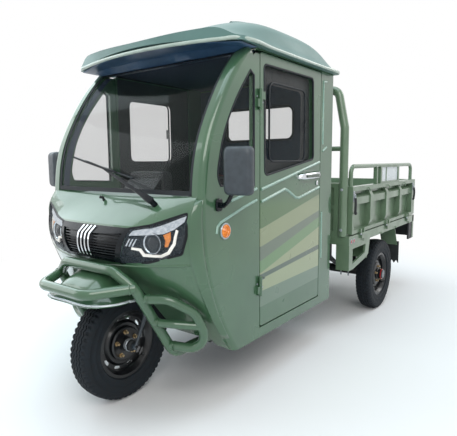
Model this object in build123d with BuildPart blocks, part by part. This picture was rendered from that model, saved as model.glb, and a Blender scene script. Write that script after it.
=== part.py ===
"""Electric cargo tricycle: one raked front fork, a closed cab and a drop-sided bed.

Millimetres, +X to the vehicle's left, -Y to its front, +Z up. The origin is on the
ground, midway along the overall length and width.
"""
import os
from math import cos, radians, sin

from build123d import *

os.makedirs("parts", exist_ok=True)

# ---------------------------------------------------------------- driving sizes
front_overhang = 335
wheelbase = 2080
rear_overhang = 805
rear_track = 1050
tyre_diameter = 535
tyre_width = 112
rim_diameter = 305
steering_rake = 27
cab_width = 1050
cab_rear = 1240
panel_thickness = 30
glass_thickness = 6
floor_height = 300
pan_thickness = 12
roof_edge_height = 1655
bed_width = 1200
bed_length = 1500
bed_rail_bottom = 600
bed_rail_height = 60
board_height = 310
board_thickness = 50
guard_height = 145

# fits and clearances
face_gap = 0.3
running_clearance = 0.05
moving_gap = 6
bore_reach = 1

# ---------------------------------------------------------------- derived places
overall_length = front_overhang + wheelbase + rear_overhang
front_axle_y = front_overhang - overall_length / 2
rear_axle_y = front_axle_y + wheelbase
axle_height = tyre_diameter / 2
cab_side = cab_width / 2
cab_inside = cab_side - panel_thickness
cab_rear_y = front_axle_y + cab_rear
floor_top = floor_height + pan_thickness
board_hinge_out = 12
knuckle_radius = 8
pin_radius = 4
bed_side = bed_width / 2
bed_rear_y = overall_length / 2 - board_hinge_out - knuckle_radius
bed_front_y = bed_rear_y - bed_length
bed_floor_top = bed_rail_bottom + bed_rail_height
bed_front = bed_front_y - front_axle_y
bed_rear = bed_rear_y - front_axle_y
# a span wide or tall enough to cut right through anything
clear_of_all = 700


def station(behind):
    """Y of a place given by its distance behind the front axle."""
    return front_axle_y + behind


def side_points(pairs):
    """(distance behind the front axle, height) pairs as points of the side view."""
    return [(station(behind), height) for behind, height in pairs]


def place_all(points, side=1):
    """(X, distance behind the front axle, Z) triples on one side of the vehicle."""
    return [(side * x, station(behind), z) for x, behind, z in points]


def add_box(x_span, y_span, z_span, mode=Mode.ADD):
    """A block between two corners, given as (low, high) for each axis."""
    middle = [(low + high) / 2 for low, high in (x_span, y_span, z_span)]
    size = [high - low for low, high in (x_span, y_span, z_span)]
    with Locations(tuple(middle)):
        Box(*size, mode=mode)


def add_side_prism(points, x_span, mode=Mode.ADD):
    """A side-view polygon extruded across the vehicle."""
    with BuildSketch(Plane.YZ.offset(x_span[0])) as outline:
        with BuildLine():
            Polyline(*points, close=True)
        make_face()
    extrude(outline.sketch, amount=x_span[1] - x_span[0], mode=mode)


def add_front_prism(points, y_span, mode=Mode.ADD):
    """A front-view polygon extruded along the vehicle."""
    with BuildSketch(Plane.XZ.offset(-y_span[1])) as outline:
        with BuildLine():
            Polyline(*points, close=True)
        make_face()
    extrude(outline.sketch, amount=y_span[1] - y_span[0], mode=mode)


def add_tube(points, tube_diameter, bend_radius, mode=Mode.ADD):
    """A round tube bent along a route of points."""
    with BuildLine() as route:
        FilletPolyline(*points, radius=bend_radius)
    with BuildSketch(Plane(origin=route.line @ 0, z_dir=route.line % 0)) as section:
        Circle(tube_diameter / 2)
    sweep(section.sketch, path=route.line, mode=mode)


def add_rod(start, end, radius, mode=Mode.ADD):
    """A straight round bar between two points."""
    axis = Vector(*end) - Vector(*start)
    with BuildSketch(Plane(origin=start, z_dir=axis)) as section:
        Circle(radius)
    extrude(section.sketch, amount=axis.length, mode=mode)


# ---------------------------------------------------------------- wheels
rim_radius = rim_diameter / 2
tyre_radius = tyre_diameter / 2
tyre_wall = 11
crown_wall = 13
shoulder_in = 14
shoulder_drop = 16
rim_wall = 4
rim_width = 84
flange_radius = rim_radius + 11
bead_height = flange_radius + 3
well_depth = 14
well_slope = 22
disc_thickness = 5
disc_dish = 12
disc_shoulder_radius = 112
disc_floor_radius = 100
hub_radius = 34
nut_circle_radius = 58
nut_count = 5
nut_radius = 10
nut_height = 12
stub_radius = 12.5
hand_hole_count = 10
hand_hole_size = (36, 15)
hand_hole_radius = 122


def make_tyre(centre_x, centre_y):
    """A hollow tyre seated on its rim, tread left smooth."""
    half = tyre_width / 2
    seat_half = rim_width / 2 - rim_wall
    shoulder = (half - shoulder_in, tyre_radius - shoulder_drop)
    bulge = (half, (tyre_radius + rim_radius) / 2 - 6)
    lip = (seat_half, bead_height)
    inner_shoulder = (shoulder[0] - tyre_wall, shoulder[1] - tyre_wall)
    inner_bulge = (half - tyre_wall, bulge[1])
    inner_lip = (seat_half - tyre_wall, bead_height)
    inner_bead = (seat_half - tyre_wall, rim_radius - bore_reach)
    with BuildPart() as tyre:
        with BuildSketch(Plane.XZ):
            with BuildLine():
                ThreePointArc((-shoulder[0], shoulder[1]), (0, tyre_radius), shoulder)
                Spline(shoulder, bulge, lip)
                Polyline(lip, (seat_half, rim_radius), (-seat_half, rim_radius), (-lip[0], lip[1]))
                Spline((-lip[0], lip[1]), (-bulge[0], bulge[1]), (-shoulder[0], shoulder[1]))
            make_face()
            with BuildLine():
                crown = (0, tyre_radius - crown_wall)
                ThreePointArc((-inner_shoulder[0], inner_shoulder[1]), crown, inner_shoulder)
                inner_side = [inner_shoulder, inner_bulge, inner_lip, inner_bead]
                Polyline(*inner_side, *[(-x, z) for x, z in inner_side[::-1]])
            make_face(mode=Mode.SUBTRACT)
        revolve(axis=Axis.X)
    return tyre.part.moved(Location((centre_x, centre_y, axle_height)))


def make_rim(centre_x, centre_y, outer_side, hub_span):
    """A pressed steel wheel: well, windowed disc and hub bored for its axle."""
    half = rim_width / 2
    slope_end = half - well_slope
    well_inner = rim_radius - well_depth
    bore = stub_radius + running_clearance
    disc_outer = well_inner - rim_wall + 1
    dish_floor = 2 + disc_dish
    with BuildPart() as rim:
        with BuildSketch(Plane.XZ):
            with BuildLine():
                Polyline(
                    (-half, flange_radius),
                    (-half, rim_radius - rim_wall),
                    (-slope_end, well_inner - rim_wall),
                    (slope_end, well_inner - rim_wall),
                    (half, rim_radius - rim_wall),
                    (half, flange_radius),
                    (half - rim_wall, flange_radius),
                    (half - rim_wall, rim_radius - face_gap),
                    (slope_end, well_inner),
                    (-slope_end, well_inner),
                    (rim_wall - half, rim_radius - face_gap),
                    (rim_wall - half, flange_radius),
                    close=True,
                )
            make_face()
            with BuildLine():
                Polyline(
                    (2, disc_outer),
                    (2, disc_shoulder_radius),
                    (dish_floor, disc_floor_radius),
                    (dish_floor, bore),
                    (dish_floor - disc_thickness, bore),
                    (dish_floor - disc_thickness, disc_floor_radius - 2),
                    (2 - disc_thickness, disc_shoulder_radius - 2),
                    (2 - disc_thickness, disc_outer),
                    close=True,
                )
            make_face()
            with BuildLine():
                Polyline(
                    (hub_span[0], bore),
                    (hub_span[0], hub_radius),
                    (hub_span[1], hub_radius),
                    (hub_span[1], bore),
                    close=True,
                )
            make_face()
        revolve(axis=Axis.X)
        with BuildSketch(Plane.YZ):
            with PolarLocations(hand_hole_radius, hand_hole_count):
                SlotOverall(*hand_hole_size, rotation=90)
        extrude(amount=disc_dish, both=True, mode=Mode.SUBTRACT)
        with BuildSketch(Plane.YZ.offset(dish_floor)):
            with PolarLocations(nut_circle_radius, nut_count):
                RegularPolygon(nut_radius, 6)
        extrude(amount=nut_height)
    side_turn = 0 if outer_side > 0 else 180
    return rim.part.moved(Location((centre_x, centre_y, axle_height), (0, 0, side_turn)))


front_hub_span = (-46, 46)
rear_hub_span = (-20, 70)

wheel_parts = {
    "front_tyre": make_tyre(0, front_axle_y),
    "front_rim": make_rim(0, front_axle_y, 1, front_hub_span),
}
for side_name, side in (("left", 1), ("right", -1)):
    wheel_x = side * rear_track / 2
    wheel_parts[f"rear_{side_name}_tyre"] = make_tyre(wheel_x, rear_axle_y)
    wheel_parts[f"rear_{side_name}_rim"] = make_rim(wheel_x, rear_axle_y, side, rear_hub_span)
for node, wheel_part in wheel_parts.items():
    wheel_part.label = node
    export_step(wheel_part, f"parts/{node}.step")

# ---------------------------------------------------------------- chassis
rail_x = 300
rail_width = 40
rail_height = 55
rail_inside = rail_x - rail_width / 2
rail_outside = rail_x + rail_width / 2
rail_front = 292
kick_start = cab_rear + 50
kick_end = kick_start + 140
kick_lean = 32
rear_rail_top = bed_rail_bottom
rear_rail_bottom = rear_rail_top - rail_height
front_rail_bottom = floor_height - rail_height
tail_panel_inset = 40
rail_end = bed_rear - tail_panel_inset
cross_size = 40
front_cross_stations = (345, 800, cab_rear - 25)
rear_cross_stations = (wheelbase - 635, wheelbase - 290, wheelbase + 400, wheelbase + 720)
outrigger_end = cab_inside - 45

with BuildPart() as chassis_frame:
    add_side_prism(
        side_points([
            (rail_front, front_rail_bottom),
            (kick_start, front_rail_bottom),
            (kick_end, rear_rail_bottom),
            (rail_end, rear_rail_bottom),
            (rail_end, rear_rail_top),
            (kick_end - kick_lean, rear_rail_top),
            (kick_start - kick_lean, floor_height),
            (rail_front, floor_height),
        ]),
        (rail_inside, rail_outside),
    )
    mirror(about=Plane.YZ)
    for place in front_cross_stations:
        y_span = (station(place) - cross_size / 2, station(place) + cross_size / 2)
        add_box((-outrigger_end, outrigger_end), y_span, (floor_height - cross_size, floor_height))
    for place in rear_cross_stations:
        y_span = (station(place) - cross_size / 2, station(place) + cross_size / 2)
        add_box((-rail_outside, rail_outside), y_span, (rear_rail_top - cross_size, rear_rail_top))
chassis_frame.part.label = "chassis_frame"
export_step(chassis_frame.part, "parts/chassis_frame.step")

# ---------------------------------------------------------------- steering
rake = radians(steering_rake)
steer_up = Vector(0, sin(rake), cos(rake))
steer_back = Vector(0, cos(rake), -sin(rake))
axle_point = Vector(0, front_axle_y, axle_height)
clamp_offset = 40
steer_origin = axle_point + steer_back * clamp_offset
stem_radius = 15
head_radius = 27
yoke_low = tyre_radius + 44.5
yoke_thickness = 30
head_start = yoke_low + yoke_thickness + 10
head_end = head_start + 148
stem_end = head_end + 30
leg_x = 96
leg_radius = 16
slider_radius = 21
slider_top = 190
slider_foot = 30
strut_radius = 17
strut_rise = 118
strut_foot_x = 150
strut_neck_x = 8
plate_front = 22
plate_back = 38
plate_thickness = 12


def on_steer_axis(distance):
    """A point on the steering axis, measured up it from beside the axle."""
    return steer_origin + steer_up * distance


def on_leg(side, distance):
    """A point on a fork leg, measured up it from the axle."""
    return Vector(side * leg_x, 0, 0) + axle_point + steer_up * distance


def strut_ends(side):
    """Foot and neck of one strut that holds the steering head."""
    foot_y = station(front_cross_stations[0]) + 10
    foot = (side * strut_foot_x, foot_y, floor_top + plate_thickness + 2)
    neck = on_steer_axis(head_start + strut_rise)
    return foot, (side * strut_neck_x, neck.Y, neck.Z)


with BuildPart() as steering_head:
    add_rod(on_steer_axis(head_start), on_steer_axis(head_end), head_radius)
    base_y = station(front_cross_stations[0])
    for side in (-1, 1):
        add_rod(*strut_ends(side), strut_radius)
    add_box(
        (-strut_foot_x - 30, strut_foot_x + 30),
        (base_y - plate_front, base_y + plate_back),
        (floor_top, floor_top + plate_thickness),
    )
    add_rod(
        on_steer_axis(head_start - bore_reach),
        on_steer_axis(head_end + bore_reach),
        stem_radius + running_clearance,
        mode=Mode.SUBTRACT,
    )
steering_head.part.label = "steering_head"
export_step(steering_head.part, "parts/steering_head.step")

with BuildPart() as front_fork:
    for side in (-1, 1):
        add_rod(on_leg(side, -slider_foot), on_leg(side, slider_top), slider_radius)
        add_rod(on_leg(side, slider_top), on_leg(side, yoke_low + yoke_thickness / 2), leg_radius)
    yoke_plane = Plane(origin=on_steer_axis(yoke_low), x_dir=(1, 0, 0), z_dir=steer_up)
    with BuildSketch(yoke_plane):
        with Locations((0, -clamp_offset / 2)):
            RectangleRounded(2 * (leg_x + slider_radius + 4), clamp_offset + 44, 18)
    extrude(amount=yoke_thickness)
    add_rod(on_steer_axis(yoke_low), on_steer_axis(stem_end), stem_radius)
    spindle_end = leg_x + slider_radius + 6
    add_rod(
        (-spindle_end, front_axle_y, axle_height),
        (spindle_end, front_axle_y, axle_height),
        stub_radius,
    )
front_fork.part.label = "front_fork"
export_step(front_fork.part, "parts/front_fork.step")

bar_height = stem_end + 170
bar_diameter = 22
bar_bend = 30
grip_x = 300
grip_rise = 70
grip_sweep = 40
with BuildPart() as handlebar:
    add_rod(on_steer_axis(stem_end), on_steer_axis(bar_height), stem_radius + 4)
    bar_y = on_steer_axis(bar_height).Y
    bar_z = on_steer_axis(bar_height).Z
    for side in (-1, 1):
        add_tube(
            [
                (0, bar_y, bar_z),
                (side * 0.4 * grip_x, bar_y, bar_z),
                (side * 0.63 * grip_x, bar_y + grip_sweep, bar_z + grip_rise),
                (side * grip_x, bar_y + 2 * grip_sweep + 10, bar_z + grip_rise),
            ],
            bar_diameter,
            bar_bend,
        )
handlebar.part.label = "handlebar"
export_step(handlebar.part, "parts/handlebar.step")

# ---------------------------------------------------------------- rear axle
housing_radius = 32
gear_case_radius = 92
gear_case_half = 55
gear_case_round = 22
spring_width = 50
leaf_thickness = 8
leaf_count = 4
leaf_step = 0.2
spring_span = 760
spring_rise = 130
hanger_half = 22
drum_radius = 105
drum_width = 41
axle_end = rear_track / 2 + rear_hub_span[0] - 2
drum_face = axle_end - 4

with BuildPart() as rear_axle:
    housing_half = axle_end - 18
    add_rod((-housing_half, rear_axle_y, axle_height), (housing_half, rear_axle_y, axle_height), housing_radius)
    add_rod(
        (-gear_case_half, rear_axle_y, axle_height),
        (gear_case_half, rear_axle_y, axle_height),
        gear_case_radius,
    )
    case_edges = edges().filter_by(GeomType.CIRCLE).filter_by(lambda e: e.radius > gear_case_radius - 1)
    fillet(case_edges, gear_case_round)
    for side in (-1, 1):
        add_rod(
            (side * (drum_face - drum_width), rear_axle_y, axle_height),
            (side * drum_face, rear_axle_y, axle_height),
            drum_radius,
        )
        add_rod(
            (side * drum_face, rear_axle_y, axle_height),
            (side * (rear_track / 2 + rear_hub_span[1] - 8), rear_axle_y, axle_height),
            stub_radius,
        )
rear_axle.part.label = "rear_axle"
export_step(rear_axle.part, "parts/rear_axle.step")

motor_radius = 88
motor_span = (-70, 170)
motor_lift = 12
motor_round = 8
with BuildPart() as drive_motor:
    motor_y = rear_axle_y - gear_case_radius - motor_radius + motor_lift
    motor_z = axle_height + motor_lift
    add_rod((motor_span[0], motor_y, motor_z), (motor_span[1], motor_y, motor_z), motor_radius)
    fillet(edges().filter_by(GeomType.CIRCLE), motor_round)
    add_rod(
        (-gear_case_half - 1, rear_axle_y, axle_height),
        (gear_case_half + 1, rear_axle_y, axle_height),
        gear_case_radius + face_gap,
        mode=Mode.SUBTRACT,
    )
drive_motor.part.label = "drive_motor"
export_step(drive_motor.part, "parts/drive_motor.step")

with BuildPart() as leaf_springs:
    spring_base = axle_height + housing_radius
    spring_span_x = (rail_x - spring_width / 2, rail_x + spring_width / 2)
    for leaf in range(leaf_count):
        reach = spring_span / 2 * (1 - leaf_step * leaf)
        drop = spring_rise * (reach / (spring_span / 2)) ** 2
        low = spring_base + (leaf_count - 1 - leaf) * leaf_thickness
        with BuildSketch(Plane.YZ.offset(spring_span_x[0])):
            with BuildLine():
                under = ThreePointArc(
                    (rear_axle_y - reach, low + drop),
                    (rear_axle_y, low),
                    (rear_axle_y + reach, low + drop),
                )
                over = ThreePointArc(
                    (rear_axle_y + reach, low + drop + leaf_thickness),
                    (rear_axle_y, low + leaf_thickness),
                    (rear_axle_y - reach, low + drop + leaf_thickness),
                )
                Line(under @ 1, over @ 0)
                Line(over @ 1, under @ 0)
            make_face()
        extrude(amount=spring_width)
    eye_z = spring_base + (leaf_count - 1) * leaf_thickness + spring_rise
    for direction in (-1, 1):
        hanger_y = rear_axle_y + direction * spring_span / 2
        hanger_y_span = (hanger_y - hanger_half, hanger_y + hanger_half)
        add_box(spring_span_x, hanger_y_span, (eye_z - 2 * leaf_thickness, rear_rail_bottom))
    mirror(about=Plane.YZ)
leaf_springs.part.label = "leaf_springs"
export_step(leaf_springs.part, "parts/leaf_springs.step")

battery_half = 250
battery_bottom = 350
battery_gap = 4
with BuildPart() as battery_box:
    battery_front = station(rear_cross_stations[0]) + cross_size / 2 + battery_gap
    battery_back = station(rear_cross_stations[1]) - cross_size / 2 - battery_gap
    add_box((-battery_half, battery_half), (battery_front, battery_back), (battery_bottom, bed_rail_bottom))
    fillet(edges().filter_by(Axis.Z), 12)
battery_box.part.label = "battery_box"
export_step(battery_box.part, "parts/battery_box.step")

# ---------------------------------------------------------------- cab floor
pillar_width = 55
pillar_inside = cab_side - pillar_width
tunnel_half = 275
tunnel_top = tyre_diameter + 97
tunnel_front = -20
tunnel_flank_front = 60
tunnel_flank_foot = 500
tunnel_shoulder = 256
tunnel_slope_foot = 400
tunnel_rear = 315
tunnel_wall = 10
toe_front = 244
toe_top = 350
toe_lean = 44

with BuildPart() as cab_floor:
    add_box((-cab_inside, cab_inside), (station(tunnel_rear), cab_rear_y), (floor_height, floor_top))
    add_side_prism(
        side_points([
            (tunnel_front, tunnel_top - tunnel_wall),
            (tunnel_front, tunnel_top),
            (tunnel_shoulder, tunnel_top),
            (tunnel_rear, tunnel_slope_foot),
            (tunnel_rear, floor_height),
            (tunnel_rear - tunnel_wall, floor_height),
            (tunnel_rear - tunnel_wall, tunnel_slope_foot - 3),
            (tunnel_shoulder - 7, tunnel_top - tunnel_wall),
        ]),
        (-tunnel_half, tunnel_half),
    )
    toe_edge = pillar_inside - face_gap
    for toe_span in ((tunnel_half, toe_edge), (-toe_edge, -tunnel_half)):
        add_box(toe_span, (station(toe_front), station(tunnel_rear)), (floor_height, floor_top))
        add_side_prism(
            side_points([
                (toe_front, floor_height),
                (toe_front - toe_lean, toe_top),
                (toe_front - toe_lean + pan_thickness, toe_top),
                (toe_front + pan_thickness, floor_height),
            ]),
            toe_span,
        )
    for low_x in (-tunnel_half, tunnel_half - tunnel_wall):
        add_side_prism(
            side_points([
                (tunnel_flank_front, tunnel_top),
                (tunnel_shoulder, tunnel_top),
                (tunnel_rear, tunnel_slope_foot),
                (tunnel_rear, floor_height),
                (toe_front, floor_height),
                (tunnel_flank_front, tunnel_flank_foot),
            ]),
            (low_x, low_x + tunnel_wall),
        )
    add_rod(on_steer_axis(yoke_low), on_steer_axis(head_end), head_radius + pan_thickness, mode=Mode.SUBTRACT)
    for side in (-1, 1):
        add_rod(*strut_ends(side), strut_radius + moving_gap, mode=Mode.SUBTRACT)
cab_floor.part.label = "cab_floor"
export_step(cab_floor.part, "parts/cab_floor.step")

# ---------------------------------------------------------------- cab pillars
pillar_depth = 52
pillar_round = 26
# the seam between pillar and side panels, from the roof's edge to the sill
seam_points = side_points([
    (376, 1621), (241, 1474), (152, 1335), (87, 1197), (55, 1033),
    (52, 847), (77, 685), (142, 505), (253, 320),
])
seam_foot = 253
sill_bottom = 275
pillar_foot = side_points([(220, sill_bottom), (seam_foot, sill_bottom)])


def pushed_forward(points, distance):
    """The same outline moved out along its own normals."""
    moved = []
    for index, point in enumerate(points):
        before = points[max(index - 1, 0)]
        after = points[min(index + 1, len(points) - 1)]
        run = Vector(after[0] - before[0], after[1] - before[1]).normalized()
        moved.append((point[0] + run.Y * distance, point[1] - run.X * distance))
    return moved


with BuildPart() as front_pillars:
    with BuildSketch(Plane.YZ.offset(pillar_inside)):
        with BuildLine():
            seam = Spline(*seam_points)
            front = Spline(*pushed_forward(seam_points, pillar_depth)[:-1], pillar_foot[0])
            Line(seam @ 0, front @ 0)
            Polyline(seam @ 1, pillar_foot[1], front @ 1)
        make_face()
    extrude(amount=pillar_width)
    long_edges = edges().filter_by(lambda e: e.length > 1000 and abs(e.center().X - cab_side) < 1)
    fillet(long_edges.sort_by(Axis.Y)[0], pillar_round)
    add_box(
        (0, cab_width),
        (station(0), station(clear_of_all)),
        (roof_edge_height - face_gap, roof_edge_height + clear_of_all),
        mode=Mode.SUBTRACT,
    )
    mirror(about=Plane.YZ)
front_pillars.part.label = "front_pillars"
export_step(front_pillars.part, "parts/front_pillars.step")

# ---------------------------------------------------------------- windscreen
screen_top = 1638
screen_bottom = 1003
screen_recess = 6
screen_half = pillar_inside - face_gap
screen_seam = seam_points[:6]
with BuildPart() as windscreen:
    with BuildSketch(Plane.YZ.offset(-screen_half)):
        with BuildLine():
            outer_face = Spline(*pushed_forward(screen_seam, pillar_depth - screen_recess))
            inner_face = Spline(
                *pushed_forward(screen_seam, pillar_depth - screen_recess - glass_thickness)
            )
            Line(outer_face @ 0, inner_face @ 0)
            Line(outer_face @ 1, inner_face @ 1)
        make_face()
    extrude(amount=2 * screen_half)
    for z_span in ((screen_top, screen_top + clear_of_all), (screen_bottom - clear_of_all, screen_bottom)):
        add_box(
            (-cab_side, cab_side),
            (station(-clear_of_all), station(clear_of_all)),
            z_span,
            mode=Mode.SUBTRACT,
        )
windscreen.part.label = "windscreen"
export_step(windscreen.part, "parts/windscreen.step")

# ---------------------------------------------------------------- nose
fascia_thickness = 12
fascia_half = cab_side - 27
fascia_bottom = 322
corner_reach = 420
nose_back = 340
cowl_top = screen_bottom - face_gap
# shares of the half width where the nose's plan curve is fixed
outer_share = 0.803
inner_share = 0.482
# each level: height, then how far behind the front axle at the middle, inner, outer, edge
hood_levels = [(876, -140, -128, -88, -46), (936, -58, -58, -56, -40), (cowl_top, 26, 22, 14, 4)]
face_levels = [(705, -140, -128, -78, -26), (790, -176, -156, -98, -50), (876, -140, -128, -88, -46)]
lower_levels = [
    (282, 215, 215, 214, 212),
    (400, 108, 108, 112, 122),
    (520, 10, 12, 30, 54),
    (620, -70, -66, -32, 8),
    (705, -140, -128, -78, -26),
]


def plan_section(height, centre, inner, outer, edge):
    """One level of the nose: its bowed front in plan, closed by a straight back."""
    near = [
        (fascia_half, station(edge)),
        (fascia_half * outer_share, station(outer)),
        (fascia_half * inner_share, station(inner)),
    ]
    with BuildSketch(Plane.XY.offset(height)) as level:
        with BuildLine():
            bow = Spline(*near, (0, station(centre)), *[(-x, y) for x, y in near[::-1]])
            back_y = station(nose_back)
            Polyline(bow @ 1, (-fascia_half, back_y), (fascia_half, back_y), bow @ 0)
        make_face()
    return level.sketch


def add_nose(inset):
    """The nose between its levels, pulled in by a wall's thickness."""
    for levels in (hood_levels, face_levels, lower_levels):
        loft([plan_section(height, *[place + inset for place in places]) for height, *places in levels])


def across_nose(pairs):
    """(share of the nose's half width, height) pairs as points of the front view."""
    return [(share * fascia_half, height) for share, height in pairs]


lamp_outline = across_nose([
    (0.361, 712), (0.474, 868), (0.663, 884), (0.976, 940), (0.984, 840), (0.944, 770), (0.663, 728),
])
grille_outline = across_nose([(-0.446, 866), (0.446, 866), (0.337, 722), (-0.337, 722)])
lamp_depth = 46
lamp_round = 10
lamp_span = (station(-260), station(60))
arch_half = 188
arch_top = tyre_diameter + 69

with BuildPart() as nose_mass:
    add_nose(0)
with BuildPart() as nose_core:
    add_nose(fascia_thickness)
    add_box(
        (-cab_side, cab_side),
        (station(-clear_of_all), station(clear_of_all)),
        (cowl_top - fascia_thickness, cowl_top + fascia_thickness),
        mode=Mode.SUBTRACT,
    )
with BuildPart() as lamp_core:
    add_nose(lamp_depth)
with BuildPart() as lamp_prism:
    add_front_prism(lamp_outline, lamp_span)
    fillet(edges().filter_by(Axis.Y), lamp_round)
    mirror(about=Plane.YZ)
with BuildPart() as grille_prism:
    add_front_prism(grille_outline, lamp_span)
    fillet(edges().filter_by(Axis.Y), lamp_round + 2)

with BuildPart() as front_fascia:
    add(nose_mass.part)
    add(nose_core.part, mode=Mode.SUBTRACT)
    add_box((-cab_side, cab_side), (station(30), station(400)), (tunnel_top - 32, 1100), mode=Mode.SUBTRACT)
    add_box(
        (-tunnel_half - 1, tunnel_half + 1),
        (station(tunnel_front) - 1, station(30)),
        (tunnel_top - tunnel_wall - 1, tunnel_top + 1),
        mode=Mode.SUBTRACT,
    )
    add_box((-arch_half, arch_half), (station(-300), station(400)), (0, arch_top), mode=Mode.SUBTRACT)
    add_box((-corner_reach, corner_reach), (station(0), station(400)), (0, fascia_bottom), mode=Mode.SUBTRACT)
    add(lamp_prism.part, mode=Mode.SUBTRACT)
    add(grille_prism.part, mode=Mode.SUBTRACT)
    add(front_pillars.part, mode=Mode.SUBTRACT)
front_fascia.part.label = "front_fascia"
export_step(front_fascia.part, "parts/front_fascia.step")

with BuildPart() as headlamps:
    add(lamp_prism.part)
    add(nose_mass.part, mode=Mode.INTERSECT)
    add(lamp_core.part, mode=Mode.SUBTRACT)
    add(front_pillars.part, mode=Mode.SUBTRACT)
headlamps.part.label = "headlamps"
export_step(headlamps.part, "parts/headlamps.step")

with BuildPart() as grille:
    add(grille_prism.part)
    add(nose_mass.part, mode=Mode.INTERSECT)
    add(lamp_core.part, mode=Mode.SUBTRACT)
grille.part.label = "grille"
export_step(grille.part, "parts/grille.step")

# ---------------------------------------------------------------- cab sides
door_front = 432
door_rear = 1075
door_bottom = 332
door_top = 1645
door_corner = 14
sill_top = sill_bottom + 50
header_top = 1676
header_front = 392
side_span = (cab_inside, cab_side)
post_front = door_rear + moving_gap
panel_rear = door_front - moving_gap
hinge_x = cab_side + 10
hinge_behind = 420
knuckle_length = 36
hinge_heights = (540, 1430)
leaf_reach = 25
groove_depth = 3
groove_width = 9
panel_grooves = [[(136, 897), (399, 957)], [(206, 975), (301, 988)]]
door_grooves = [
    [(446, 1023), (1066, 1152)],
    [(446, 962), (669, 1001), (780, 952), (1028, 986)],
]
quarter_window_front = side_points([
    (350, 1554), (287, 1480), (227, 1401), (174, 1314), (136, 1231), (113, 1149), (104, 1086), (124, 1040),
])
quarter_window_rear = side_points([(383, 1030), (383, 1534)])
rear_window_half = 274
rear_window_low = 1279
rear_window_high = 1499
rear_window_corner = 50
glass_recess = 12


def add_groove(places):
    """A pressed line in the outer face of a side panel."""
    plane = Plane.YZ.offset(cab_side - groove_depth)
    with BuildLine(plane) as line:
        Polyline(*side_points(places))
    with BuildSketch(plane) as strip:
        trace(line.line, line_width=groove_width)
    extrude(strip.sketch, amount=groove_depth + bore_reach, mode=Mode.SUBTRACT)


def add_quarter_window(low_x, thickness, mode=Mode.ADD):
    """The quarter window's outline as a plate: curved in front, straight behind."""
    with BuildSketch(Plane.YZ.offset(low_x)) as outline:
        with BuildLine():
            curve = Spline(*quarter_window_front)
            Polyline(curve @ 1, *quarter_window_rear, curve @ 0)
        make_face()
    extrude(outline.sketch, amount=thickness, mode=mode)


def add_rear_window(front_y, thickness, mode=Mode.ADD):
    """The rear window's outline as a plate."""
    with BuildSketch(Plane.XZ.offset(-front_y - thickness)) as outline:
        with Locations((0, (rear_window_low + rear_window_high) / 2)):
            RectangleRounded(2 * rear_window_half, rear_window_high - rear_window_low, rear_window_corner)
    extrude(outline.sketch, amount=thickness, mode=mode)


with BuildPart() as quarter_panels:
    with BuildSketch(Plane.YZ.offset(cab_inside)):
        with BuildLine():
            seam = Spline(*seam_points)
            Polyline(
                seam @ 1,
                (station(seam_foot), sill_top),
                (station(panel_rear), sill_top),
                (station(panel_rear), header_top - 42),
                (station(header_front), header_top - 42),
                seam @ 0,
            )
        make_face()
    extrude(amount=panel_thickness)
    add_quarter_window(cab_inside, panel_thickness, mode=Mode.SUBTRACT)
    for groove in panel_grooves:
        add_groove(groove)
    for height in hinge_heights:
        pin_foot = (hinge_x, station(hinge_behind), height - knuckle_length)
        pin_top = (hinge_x, station(hinge_behind), height + knuckle_length + 4)
        add_box(
            (cab_side, hinge_x + 3),
            (station(hinge_behind - leaf_reach), station(hinge_behind - 3)),
            (height - knuckle_length, height),
        )
        add_rod(pin_foot, (hinge_x, station(hinge_behind), height), knuckle_radius)
        add_rod((hinge_x, station(hinge_behind), height), pin_top, pin_radius)
    mirror(about=Plane.YZ)
quarter_panels.part.label = "quarter_panels"
export_step(quarter_panels.part, "parts/quarter_panels.step")

with BuildPart() as cab_side_frames:
    add_box(side_span, (station(seam_foot), cab_rear_y), (sill_bottom, sill_top))
    add_box(side_span, (station(post_front), cab_rear_y), (sill_top, header_top))
    add_box(side_span, (station(header_front), station(post_front)), (door_top + moving_gap, header_top))
    mirror(about=Plane.YZ)
cab_side_frames.part.label = "cab_side_frames"
export_step(cab_side_frames.part, "parts/cab_side_frames.step")

with BuildPart() as cab_rear_wall:
    add_box((-cab_inside, cab_inside), (cab_rear_y - panel_thickness, cab_rear_y), (floor_top, header_top))
    add_rear_window(cab_rear_y - panel_thickness, panel_thickness, mode=Mode.SUBTRACT)
cab_rear_wall.part.label = "cab_rear_wall"
export_step(cab_rear_wall.part, "parts/cab_rear_wall.step")

with BuildPart() as fixed_windows:
    add_quarter_window(cab_side - glass_recess - glass_thickness, glass_thickness)
    mirror(about=Plane.YZ)
    add_rear_window(cab_rear_y - glass_recess - glass_thickness, glass_thickness)
fixed_windows.part.label = "fixed_windows"
export_step(fixed_windows.part, "parts/fixed_windows.step")

# ---------------------------------------------------------------- roof
roof_half = cab_side + 40
roof_lip = 18
roof_front = 135
roof_corner_front = 235
roof_rear = cab_rear + 22
roof_corner = 34
roof_wall = 24
roof_seat = cab_side + 8
roof_header_front = 316
roof_header_rear = 372
cavity_half = cab_inside - 10
cavity_floor = roof_edge_height - 55
# behind the front axle, crown height, edge height, how far the underside arches
roof_levels = [
    (110, 1712, roof_edge_height + 3, 28),
    (235, 1738, roof_edge_height + 1, 20),
    (400, 1798, roof_edge_height, 8),
    (640, 1846, roof_edge_height, 0),
    (1000, 1850, roof_edge_height, 0),
    (1180, 1812, roof_edge_height, 0),
    (roof_rear + 4, 1752, roof_edge_height, 0),
]
roof_cavity_levels = [(380, 1798), (640, 1846), (1000, 1850), (1205, 1806)]
# share of the half width, share of the rise from lip to crown
crown_shape = [(1, 0), (0.93, 0.14), (0.83, 0.66), (0.66, 0.95), (0.5, 1.0), (0, 0.9)]


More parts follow.
